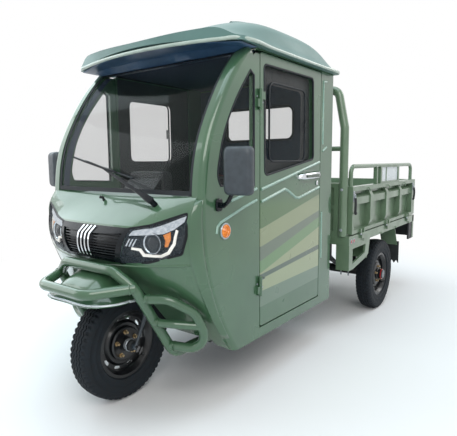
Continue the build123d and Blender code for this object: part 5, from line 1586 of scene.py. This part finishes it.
# ---------------------------------------------------------------- bed
class BedSettings(bpy.types.PropertyGroup):
    """Sizes of the bed's fittings."""

    rib_spacing: bpy.props.FloatProperty(
        name="Floor rib spacing", description="Distance between the pressed ribs of the floor",
        default=64 * MM, unit="LENGTH"
    )
    latch_length: bpy.props.FloatProperty(
        name="Latch handle", description="Length of the rubber covered latch handles",
        default=0.105, unit="LENGTH"
    )


class AddBoardFittings(bpy.types.Operator):
    """Adds the latches, blank plates, guard stakes, rope hooks and weld beads of the drop boards."""

    bl_idname = "tricycle.add_board_fittings"
    bl_label = "Board fittings"

    def execute(self, context):
        # the board fittings take the bed enamel, painted paler and warmer as if lit
        settings = context.scene.tricycle_bed
        for side, name in SIDES:
            low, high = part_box(f"{name}_side_board")
            self.front_y, self.rear_y = low[1], high[1]
            self.run = self.rear_y - self.front_y
            self.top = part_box("tailgate")[1][2]
            self.add_latches(settings, side, name)
            self.add_plate(side, name, high[2])
            self.add_caps(side, name)
        self.add_tail_fittings()
        return {"FINISHED"}

    def add_latches(self, settings, side, name):
        """A cam latch with a rubber covered handle at each end of the board."""
        body = f"{name}_side_board"
        for y, spot_name, way in ((self.front_y + 17 * MM, "front", -1), (self.rear_y - 17 * MM, "rear", 1)):
            x = side * (BED_SIDE + 3 * MM)
            z = self.top - 62 * MM
            keep = corners(y - 11 * MM, z - 36 * MM, y + 11 * MM, z + 34 * MM)
            outline = [Vector((x - side * 3 * MM, a, b)) for a, b in keep]
            plate(
                f"{name}_latch_plate_{spot_name}", outline, (side * 4 * MM, 0, 0), "zinc_plate", body,
                bevel=1 * MM
            )
            ring = [
                Vector((x + side * 7 * MM, y + 9 * MM * cos(a), z + 2 * MM + 12 * MM * sin(a)))
                for a in turns(16)
            ]
            pipe(f"{name}_latch_ring_{spot_name}", [ring], 2.6 * MM, "zinc_plate", body, closed=True)
            top = Vector((x + side * 9 * MM, y, z - 10 * MM))
            reach = settings.latch_length
            hook = [
                top, top + Vector((side * 3 * MM, 4 * MM * way, -0.3 * reach)),
                top + Vector((side * 2 * MM, 3 * MM * way, -0.75 * reach)),
                top + Vector((0, -6 * MM * way, -0.97 * reach)),
                top + Vector((0, -15 * MM * way, -0.93 * reach)),
            ]
            pipe(
                f"{name}_latch_handle_{spot_name}", [hook], 8 * MM, "moulded_rubber", body, smooth=True,
                sides=4
            )
            bolts(
                f"{name}_latch_rivets_{spot_name}",
                [(x + side * 1 * MM, y, z + dz * MM) for dz in (-30, 28)], (side, 0, 0), 3 * MM,
                "zinc_plate", body
            )

    def add_plate(self, side, name, guard_top):
        """The framed blank plate and the flat stake of the guard rail."""
        body = f"{name}_side_board"
        x = side * (BED_SIDE - 25 * MM)
        z0, z1 = self.top - 2 * MM, guard_top - 20 * MM
        stake_y = self.front_y + 0.35 * self.run
        block(
            f"{name}_guard_stake", (x - 14 * MM, stake_y - 12 * MM, z0),
            (x + 14 * MM, stake_y + 12 * MM, z1), "bed_lit_enamel", body, bevel=3 * MM
        )
        y0, y1 = self.front_y + 0.40 * self.run, self.front_y + 0.72 * self.run
        face = x + side * 15 * MM
        inner = corners(y0 + 28 * MM, z0 + 14 * MM, y1 - 28 * MM, z1 - 8 * MM)
        ring = [Vector((face, y, z)) for y, z in corners(y0, z0, y1, z1)]
        hole = [Vector((face, y, z)) for y, z in inner]
        framed_panel(f"{name}_plate_frame", ring, hole, (-side * 26 * MM, 0, 0), "bed_lit_enamel", body)
        outline = rounded(corners(y0 + 20 * MM, z0 + 8 * MM, y1 - 20 * MM, z1 - 3 * MM), 8 * MM)
        blank = [Vector((face - side * 10 * MM, y, z)) for y, z in outline]
        plate(f"{name}_blank_plate", blank, (side * 2.5 * MM, 0, 0), "plate_enamel", body, bevel=0.8 * MM)

    def add_caps(self, side, name):
        """Rope hooks under the board's top rail and weld beads on the guard's feet."""
        body = f"{name}_side_board"
        hooks = []
        for share in (0.2, 0.5, 0.8):
            y = self.front_y + share * self.run
            x, z = side * BED_SIDE, self.top - 20 * MM
            hooks.append([
                Vector(
                    (x + side * out * MM, y, z - drop * MM)
                ) for out, drop in ((-2, 0), (9, 0), (12, 10), (12, 24))
            ])
        pipe(f"{name}_rope_hooks", hooks, 3.5 * MM, "bed_lit_enamel", body, smooth=True)
        beads = []
        for y in (self.front_y + 20 * MM, self.rear_y - 20 * MM):
            centre = Vector((side * (BED_SIDE - 25 * MM), y, self.top + 1 * MM))
            beads.append([centre + mm(15.5 * cos(a), 15.5 * sin(a), 0) for a in turns(20)])
        pipe(f"{name}_guard_welds", beads, 2.6 * MM, "bed_lit_enamel", body, closed=True)

    def add_tail_fittings(self):
        body = "tailgate"
        low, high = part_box("tailgate")
        y = BED_REAR_Y
        for side, name in SIDES:
            x, z = side * (BED_SIDE - 40 * MM), high[2] - 60 * MM
            keep = upright(y - 1 * MM, corners(x - 12 * MM, z - 34 * MM, x + 12 * MM, z + 34 * MM))
            plate(f"tail_latch_plate_{name}", keep, (0, 5 * MM, 0), "zinc_plate", body, bevel=1 * MM)
            top = Vector((x, y + 9 * MM, z + 8 * MM))
            hook = [top, top + mm(0, 4, -32), top + mm(-side * 3, 3, -76), top + mm(-side * 12, 0, -96)]
            pipe(f"tail_latch_handle_{name}", [hook], 8 * MM, "moulded_rubber", body, smooth=True, sides=4)
        swages = []
        spacing = (high[0] - low[0] - 86 * MM) / 4
        for k in range(4):
            x0 = low[0] + 60 * MM + spacing * k
            swages.append(upright(y - 40 * MM, corners(x0, 0.73, x0 + spacing - 60 * MM, 0.81)))
        pipe("tailgate_swages", swages, 7 * MM, "bed_lit_enamel", body, closed=True, sides=4)


class AddBedFittings(bpy.types.Operator):
    """Adds the bed's ribs and flanges, the hoop's bolts, lashing hooks, tail lamps and reflectors."""

    bl_idname = "tricycle.add_bed_fittings"
    bl_label = "Bed fittings"

    def execute(self, context):
        # the bed fittings take the bed enamel, painted paler and warmer as if lit
        settings = context.scene.tricycle_bed
        z = 0.6585
        half = BED_SIDE - 58 * MM
        count = int(2 * half / settings.rib_spacing)
        ribs = []
        for k in range(count + 1):
            x = -half + 2 * half * k / count
            ribs.append([Vector((x, BED_FRONT_Y + 60 * MM, z)), Vector((x, BED_REAR_Y - 76 * MM, z))])
        pipe("bed_floor_ribs", ribs, 5.5 * MM, "bed_lit_enamel")
        self.add_corners()
        self.add_reflectors()
        self.add_headboard_details()
        self.add_tail_lamps()
        return {"FINISHED"}

    def add_corners(self):
        for side, name in SIDES:
            x = side * BED_SIDE
            outline = [
                Vector((x - side * inwards * MM, BED_REAR_Y - ahead * MM, 0.452))
                for inwards, ahead in ((0, 42), (0, 2), (30, 2), (30, 5), (4, 5), (4, 42))
            ]
            plate(f"corner_flange_{name}", outline, (0, 0, 0.204), "bed_lit_enamel", bevel=1.2 * MM)
            hooks = []
            for share in (0.16, 0.4, 0.64, 0.88):
                y = BED_FRONT_Y + share * (BED_REAR_Y - BED_FRONT_Y)
                hooks.append([
                    Vector((x + side * out * MM, y + along * MM, z))
                    for out, along, z in ((-2, -16, 0.612), (8, -12, 0.607), (8, 12, 0.607), (-2, 16, 0.612))
                ])
            pipe(f"lashing_hooks_{name}", hooks, 3.2 * MM, "bed_lit_enamel", smooth=True)

    def add_reflectors(self):
        for side, name in SIDES:
            for k, behind in enumerate((0.035, 0.080)):
                spot = Vector((side * BED_SIDE, BED_FRONT_Y + behind, 0.622))
                lathe(
                    f"reflector_rim_{name}_{k}", [(16, 0), (16, 2.5), (14, 3.5), (13, 2)], spot,
                    (side, 0, 0), "zinc_plate", steps=24
                )
                lathe(
                    f"reflector_lens_{name}_{k}", [(14, 0.5), (13.5, 3), (8, 4.2), (0.3, 4.6)], spot,
                    (side, 0, 0), "red_acrylic", steps=24
                )

    def add_headboard_details(self):
        y = BED_FRONT_Y
        low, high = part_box("headboard")
        swages = []
        width = (high[0] - low[0] - 34 * MM) / 4
        for k in range(4):
            x0, x1 = low[0] + 34 * MM + width * k + 24 * MM, low[0] + width * (k + 1) - 24 * MM
            for z0, z1 in ((0.712, 0.806), (0.874, 0.950)):
                swages.append(upright(y + 20 * MM, corners(x0, z0, x1, z1)))
        pipe("headboard_swages", swages, 4 * MM, "bed_lit_enamel", closed=True)
        spots = [(side * (BED_SIDE - 50 * MM), y - 20 * MM, z) for side in (-1, 1) for z in (0.70, 0.96)]
        bolts("hoop_bolts", spots, (0, -1, 0), 7 * MM, "zinc_plate")
        bars = [upright(y + 7 * MM, [(x, 1.0), (x, 1.21)]) for x in (-0.36, -0.18, 0, 0.18, 0.36)]
        pipe("hoop_uprights", bars, 6 * MM, "bed_lit_enamel", sides=4)

    def add_tail_lamps(self):
        low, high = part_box("tail_lamps")
        for side, name in SIDES:
            x0, x1 = sorted((side * 0.372, side * high[0]))
            walls = (x0, x0 + 64 * MM, x1 - 64 * MM, x1)
            lenses = ("amber_acrylic", "red_acrylic", "plate_enamel")
            for k, (a, b, lens) in enumerate(zip(walls, walls[1:], lenses)):
                outline = rounded(corners(a + 4 * MM, low[2] + 6 * MM, b - 4 * MM, high[2] - 6 * MM), 7 * MM)
                face = upright(high[1] - 8 * MM, outline)
                cell = plate(f"tail_lens_{name}_{k}", face, (0, 8 * MM, 0), lens, bevel=3 * MM)
                if side > 0 and k == 0:
                    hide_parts("tail_lamps")
            tray = upright(low[1], rounded(corners(x0, low[2], x1, high[2]), 9 * MM))
            plate(f"tail_lamp_body_{name}", tray, (0, 19 * MM, 0), "gloss_abs", bevel=3 * MM)
        holder = upright(BED_REAR_Y - 121 * MM, rounded(corners(-0.110, 0.500, 0.110, 0.590), 8 * MM))
        plate("plate_holder", holder, (0, 4 * MM, 0), "plate_enamel", bevel=0.8 * MM)


class AddHingeWelds(bpy.types.Operator):
    """Adds pins to the board hinges, and barrels and screws to the door hinges."""

    bl_idname = "tricycle.add_hinge_details"
    bl_label = "Hinge details"

    def execute(self, context):
        spots = []
        for side in (1, -1):
            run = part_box("left_side_board")
            for share in (0.12, 0.5, 0.88):
                y = run[0][1] + (run[1][1] - run[0][1]) * share
                for way in (-1, 1):
                    spots.append((Vector((side * (BED_SIDE + 12 * MM), y + way * 40 * MM, 0.655)), way))
        points, faces = [], []
        for spot, way in spots:
            faces += later(ring_faces(4, 12, caps=True), len(points))
            for radius, along in ((6.5, -0.5), (6.5, 1.5), (4.5, 3), (0.5, 3.2)):
                points += [spot + mm(radius * cos(a), way * along, radius * sin(a)) for a in turns(12)]
        mesh_piece("board_hinge_pins", points, faces, "zinc_plate")
        levels = (("low", 0.540), ("high", 1.430))
        hinge_line = [Vector((side * (CAB_SIDE + 10 * MM), FRONT_AXLE_Y + 420 * MM, 0)) for side in (1, -1)]
        barrels = [
            [
                foot + Vector((0, 0, z - 48 * MM)), foot + Vector((0, 0, z + 48 * MM))
            ] for foot in hinge_line for _, z in levels
        ]
        pipe("door_hinge_barrels", barrels, 9 * MM, "sage_enamel", sides=4)
        for side, name in SIDES:
            for level, z in levels:
                for leaf, behind, body in (("hinge", 403, "chassis"), ("door_hinge", 450, f"{name}_door")):
                    x, y = side * (CAB_SIDE + 1.5 * MM), FRONT_AXLE_Y + behind * MM
                    rows = [(x, y, z + rise * MM) for rise in (-12, 12)]
                    bolts(f"{name}_{leaf}_screws_{level}", rows, (side, 0, 0), 3.2 * MM, "zinc_plate", body)
        return {"FINISHED"}


# ---------------------------------------------------------------- chassis
class AddFork(bpy.types.Operator):
    """Adds the front fork: its yoke, stem, slim grey legs, coil springs and axle nuts."""

    bl_idname = "tricycle.add_fork"
    bl_label = "Front fork"

    def execute(self, context):
        rake = radians(27)
        up = Vector((0, sin(rake), cos(rake)))
        back = Vector((0, cos(rake), -sin(rake)))
        axle = Vector((0, FRONT_AXLE_Y, AXLE_Z))
        yoke = TYRE_RADIUS + 44.5 * MM
        for side, name in SIDES:
            leg = axle + mm(side * 96, 0, 0)
            profile = [
                (6, -16), (9, -13), (9, 0), (7.5, 24), (8, 60), (10, 130), (12, 150), (18, 156), (19, 166),
                (17.5, 170),
                (19, 178), (17.5, 186), (19, 194), (17.5, 202), (19, 210), (17, 218), (14, 222), (14, 316),
                (12, 320),
            ]
            legs = lathe(f"fork_leg_{name}", profile, leg, up, "fork_grey", "steering", steps=28)
            if side > 0:
                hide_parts("front_fork")
            coil = []
            for k in range(97):
                a, h = 2 * pi * k / 12, 0.222 + 0.078 * k / 96
                coil.append(leg + up * h + mm(cos(a) * 19, 0, 0) + back * sin(a) * 19 * MM)
            pipe(f"fork_spring_{name}", [coil], 3 * MM, "spring_steel", "steering", sides=2)
            lathe(
                f"fork_axle_nut_{name}",
                [(9, 0), (9, 2), (8, 3), (8, 7), (5, 8), (5, 10), (1, 11)],
                leg + mm(side * 5, 0, 0), (side, 0, 0), "black_powder_coat", "steering", steps=6, smooth=20,
            )
            lathe(
                f"fork_axle_sleeve_{name}",
                [(12.5, 0), (12.5, 16), (15, 18), (15, 30)],
                axle + mm(side * 68, 0, 0), (side, 0, 0), "fork_grey", "steering", steps=24,
            )
        centre = axle + back * 40 * MM + up * yoke
        outline = []
        for x, along in rounded([(-121, -62), (121, -62), (60, 22), (-60, 22)], 20, 5):
            outline.append(centre + mm(x, 0, 0) + back * (along * MM))
        plate("fork_yoke", outline, up * 30 * MM, "black_powder_coat", "steering", bevel=4 * MM)
        spots = [centre + up * 30 * MM + mm(x, 0, 0) - back * 40 * MM for x in (-96, 96)]
        bolts("fork_yoke_nuts", spots, up, 12 * MM, "zinc_plate", "steering")
        pipe(
            "fork_stem", [[centre + up * 20 * MM, centre + up * 0.216]], 15 * MM, "black_powder_coat",
            "steering", sides=5
        )
        return {"FINISHED"}


class AddDriveDetails(bpy.types.Operator):
    """Adds the motor's fins, the spring clips, the dampers, the battery's bands and the bolts."""

    bl_idname = "tricycle.add_drive_details"
    bl_label = "Drive and chassis details"

    def execute(self, context):
        low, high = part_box("drive_motor")
        centre = (Vector(low) + Vector(high)) / 2
        reach = (high[2] - low[2]) / 2
        points, faces = [], []
        for k in range(11):
            x = low[0] + 40 * MM + k * 14 * MM
            faces += later(ring_faces(4, 40, closed_rows=True), len(points))
            for radius, along in corners(reach - 14 * MM, 0, reach - 1 * MM, 3 * MM):
                points += [
                    Vector((x + along, centre.y + radius * cos(a), centre.z + radius * sin(a)))
                    for a in turns(40)
                ]
        mesh_piece("motor_fins", points, faces, "cast_aluminium")
        middle = Vector((high[0] + 1 * MM, centre.y, centre.z))
        ring = [middle + mm(0, 66 * cos(a), 66 * sin(a)) for a in turns(6)]
        bolts("motor_cover_bolts", ring, (1, 0, 0), 5 * MM, "zinc_plate")
        self.add_springs()
        self.add_battery()
        self.add_frame_bolts()
        return {"FINISHED"}

    def add_springs(self):
        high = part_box("leaf_springs")[1]
        clips = []
        for side in (1, -1):
            x = side * (high[0] - 25 * MM)
            for y in (REAR_AXLE_Y - 45 * MM, REAR_AXLE_Y + 45 * MM):
                leg = [(31, -40), (31, 75), (20, 85)]
                bend = [(-across, rise) for across, rise in leg] + leg[::-1]
                clips.append(upright(y, [(x + across * MM, AXLE_Z + rise * MM) for across, rise in bend]))
        pipe("spring_u_bolts", clips, 5.5 * MM, "zinc_plate")
        for side, name in SIDES:
            foot = Vector((side * 0.40, REAR_AXLE_Y - 40 * MM, AXLE_Z + 10 * MM))
            head = Vector((side * 0.37, REAR_AXLE_Y - 0.19, 0.575))
            way = (head - foot).normalized()
            length = (head - foot).length / MM
            profile = [
                (10, 0), (14, 12), (22, 14), (22, length * 0.5), (26, length * 0.52), (26, length * 0.9),
                (14, length * 0.93), (9, length),
            ]
            lathe(f"damper_{name}", profile, foot, way, "black_powder_coat", steps=24)

    def add_battery(self):
        (x0, y0, z0), (x1, y1, z1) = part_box("battery_box")
        ring = rounded(corners(x0, y0, x1, y1), 12 * MM)
        bands = [[Vector((x, y, z)) for x, y in ring] for z in (z0 + 40 * MM, (z0 + z1) / 2, z1 - 40 * MM)]
        pipe("battery_bands", bands, 5 * MM, "black_powder_coat", closed=True)
        spots = [(x, y0, z1 - 22 * MM) for x in (x0 + 40 * MM, 0, x1 - 40 * MM)]
        bolts("battery_bolts", spots, (0, -1, 0), 5 * MM, "zinc_plate")

    def add_frame_bolts(self):
        low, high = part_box("steering_head")
        across = (low[0] + 18 * MM, high[0] - 18 * MM)
        spots = [
            Vector((x, FRONT_AXLE_Y + behind, low[2] + 12.5 * MM))
            for x in across for behind in (0.334, 0.372)
        ]
        bolts("steering_head_bolts", spots, (0, 0, 1), 7 * MM, "zinc_plate")


class AddCrashBarDetails(bpy.types.Operator):
    """Adds the weld beads of the front guard tubes."""

    bl_idname = "tricycle.add_crash_bar_details"
    bl_label = "Front guard details"

    def execute(self, context):
        beads = []
        for side in (1, -1):
            for spot, way, radius in (
                (at(side * 265, -142, 614), Vector((side * -0.55, -0.83, -0.05)), 0.0235),
                (at(side * 278, -104, 560), Vector((side * 1, 0.43, 0.05)), 0.0212),
                (at(side * 290, -55, 445), Vector((side * 1, 0.25, 0.03)), 0.0187),
                (at(side * 304, 22, 318), Vector((side * 1, 0.24, 0)), 0.0212),
            ):
                way = way.normalized()
                first = way.orthogonal().normalized()
                second = way.cross(first)
                centre = spot + way * 0.0225
                beads.append([centre + (first * cos(a) + second * sin(a)) * radius for a in turns(20)])
        pipe("guard_weld_beads", beads, 2.8 * MM, "sage_enamel", closed=True)
        return {"FINISHED"}


# ---------------------------------------------------------------- stage
class StageSettings(bpy.types.PropertyGroup):
    """Sizes and light levels of the stage."""

    floor_size: bpy.props.FloatProperty(
        name="Floor size", description="Side of the pale floor", default=60.0, unit="LENGTH"
    )
    floor_colour: bpy.props.FloatVectorProperty(
        name="Floor colour", description="Colour of the floor", default=(0.93, 0.93, 0.93), subtype="COLOR"
    )
    key_power: bpy.props.FloatProperty(
        name="Key light", description="Power of the large soft lamp", default=165.0, unit="POWER"
    )
    sky_strength: bpy.props.FloatProperty(
        name="Sky light", description="Strength of the pale surroundings", default=0.45, subtype="FACTOR"
    )


class AddStage(bpy.types.Operator):
    """Adds the floor, the soft lamps, the pale surroundings and the camera."""

    bl_idname = "tricycle.add_stage"
    bl_label = "Stage"

    def execute(self, context):
        settings = context.scene.tricycle_stage
        self.add_floor(context, settings)
        self.add_lamps(context, settings)
        self.add_surroundings(context, settings)
        self.add_camera(context)
        context.scene.view_settings.view_transform = "Standard"
        return {"FINISHED"}

    @staticmethod
    def white_to_camera(tree, shader, white, share=None):
        """Shows plain white to the camera, in mirrors and through glass, and the shader to the rest."""
        path = node(tree, "ShaderNodeLightPath").outputs
        seen = path["Is Camera Ray"]
        for ray in ("Is Glossy Ray", "Is Transmission Ray"):
            seen = node(tree, "ShaderNodeMath", {}, {0: seen, 1: path[ray]}, operation="MAXIMUM").outputs[0]
        if share is not None:
            seen = node(tree, "ShaderNodeMath", {}, {0: seen, 1: share}, operation="MULTIPLY").outputs[0]
        return node(tree, "ShaderNodeMixShader", {}, {0: seen, 1: shader, 2: white.outputs[0]})

    def add_floor(self, context, settings):
        half = settings.floor_size / 2
        data = bpy.data.meshes.new("floor")
        corners = [(-half, -half, 0), (half, -half, 0), (half, half, 0), (-half, half, 0)]
        data.from_pydata(corners, [], [(0, 1, 2, 3)])
        floor = bpy.data.objects.new("floor", data)
        context.scene.collection.objects.link(floor)
        paint = bpy.data.materials.new("matt_white_floor")
        paint.use_nodes = True
        tree = paint.node_tree
        shader = tree.nodes["Principled BSDF"]
        shader.inputs["Base Color"].default_value = (*settings.floor_colour, 1)
        shader.inputs["Roughness"].default_value = 0.9
        where = node(tree, "ShaderNodeTexCoord").outputs["Object"]
        away = node(tree, "ShaderNodeVectorMath", {}, {0: where}, operation="LENGTH").outputs["Value"]
        far = ramp(tree, away, 0.0, 1.0, 1.9, 3.6)
        white = node(tree, "ShaderNodeEmission", {"Color": (1, 1, 1, 1)})
        mixed = self.white_to_camera(tree, shader.outputs[0], white, far)
        tree.links.new(mixed.outputs[0], tree.nodes["Material Output"].inputs["Surface"])
        data.materials.append(paint)

    def add_lamps(self, context, settings):
        for name, spot, aim, size, share, colour in (
            ("key", (3.5, -4.2, 4.4), (0, -0.6, 0.8), 3.4, 1.0, (1.0, 0.985, 0.96)),
            ("fill", (-4.5, -3.6, 2.6), (0, -0.8, 0.9), 3.4, 0.45, (0.93, 0.97, 1.0)),
            ("rear", (3.2, 5.4, 4.6), (0, 0.8, 0.8), 3.0, 0.7, (1.0, 0.99, 0.97)),
            ("top", (0.0, -0.6, 5.2), (0, -0.2, 0), 4.4, 0.9, (0.74, 0.91, 1.0)),
            ("sky panel", (-3.4, -0.3, 3.3), (0, -1.3, 0.9), 3.2, 0.4, (0.78, 0.95, 1.0)),
        ):
            data = bpy.data.lights.new(name, "AREA")
            data.size = size
            data.energy = settings.key_power * share
            data.color = colour
            lamp = bpy.data.objects.new(name, data)
            lamp.location = spot
            lamp.rotation_euler = (Vector(aim) - Vector(spot)).to_track_quat("-Z", "Y").to_euler()
            context.scene.collection.objects.link(lamp)

    def add_surroundings(self, context, settings):
        world = bpy.data.worlds.new("pale surroundings")
        context.scene.world = world
        world.use_nodes = True
        tree = world.node_tree
        sky = tree.nodes["Background"]
        sky.inputs["Color"].default_value = (0.90, 0.95, 1.0, 1)
        sky.inputs["Strength"].default_value = settings.sky_strength
        white = node(tree, "ShaderNodeBackground", {"Color": (1, 1, 1, 1)})
        mixed = self.white_to_camera(tree, sky.outputs[0], white)
        tree.links.new(mixed.outputs[0], tree.nodes["World Output"].inputs["Surface"])

    def add_camera(self, context):
        right = Vector((0.8007, 0.5992, -0.0074))
        ahead = Vector((-0.5953, 0.7940, -0.1233))
        right = (right - ahead * right.dot(ahead) / ahead.length_squared).normalized()
        up = right.cross(ahead).normalized()
        spot = Vector((1.707, FRONT_AXLE_Y - 1.399, 1.144))
        data = bpy.data.cameras.new("camera")
        data.sensor_width = 36
        data.lens = 35.83
        camera = bpy.data.objects.new("camera", data)
        camera.matrix_world = Matrix((
            (right.x, up.x, -ahead.x, spot.x),
            (right.y, up.y, -ahead.y, spot.y),
            (right.z, up.z, -ahead.z, spot.z),
            (0, 0, 0, 1),
        ))
        context.scene.collection.objects.link(camera)
        context.scene.camera = camera


# ---------------------------------------------------------------- panel and running
class TricyclePanel(bpy.types.Panel):
    """Lists the tricycle's pieces in the sidebar."""

    bl_idname = "VIEW3D_PT_tricycle"
    bl_label = "Tricycle"
    bl_space_type = "VIEW_3D"
    bl_region_type = "UI"
    bl_category = "Tricycle"

    def draw(self, context):
        for group in SETTINGS:
            values = getattr(context.scene, group)
            for key in values.bl_rna.properties.keys():
                if key not in ("name", "rna_type"):
                    self.layout.prop(values, key)
        for step in STEPS:
            self.layout.operator(step.bl_idname)


SETTINGS = {
    "tricycle_wheels": WheelSettings,
    "tricycle_body": BodySettings,
    "tricycle_seat": SeatSettings,
    "tricycle_bed": BedSettings,
    "tricycle_stage": StageSettings,
}
STEPS = (
    AddStage,
    FinishNodes,
    AddTyres,
    AddWheelFittings,
    AddHeadlamps,
    AddGrille,
    AddWiper,
    AddNoseTrim,
    AddSeals,
    AddRoofTrim,
    AddDoorFittings,
    AddCabTrim,
    AddMirrors,
    AddSideMarkers,
    AddSeat,
    AddDashDetails,
    AddBoardFittings,
    AddBedFittings,
    AddHingeWelds,
    AddFork,
    AddDriveDetails,
    AddCrashBarDetails,
)


def register():
    for kind in (*SETTINGS.values(), *STEPS, TricyclePanel):
        bpy.utils.register_class(kind)
    for name, kind in SETTINGS.items():
        setattr(bpy.types.Scene, name, bpy.props.PointerProperty(type=kind))


def unregister():
    for name in SETTINGS:
        delattr(bpy.types.Scene, name)
    for kind in (TricyclePanel, *reversed(STEPS), *SETTINGS.values()):
        bpy.utils.unregister_class(kind)


def main():
    register()
    for step in STEPS:
        group, _, name = step.bl_idname.partition(".")
        getattr(getattr(bpy.ops, group), name)()
    bpy.context.view_layer.update()


if __name__ == "__main__":
    main()
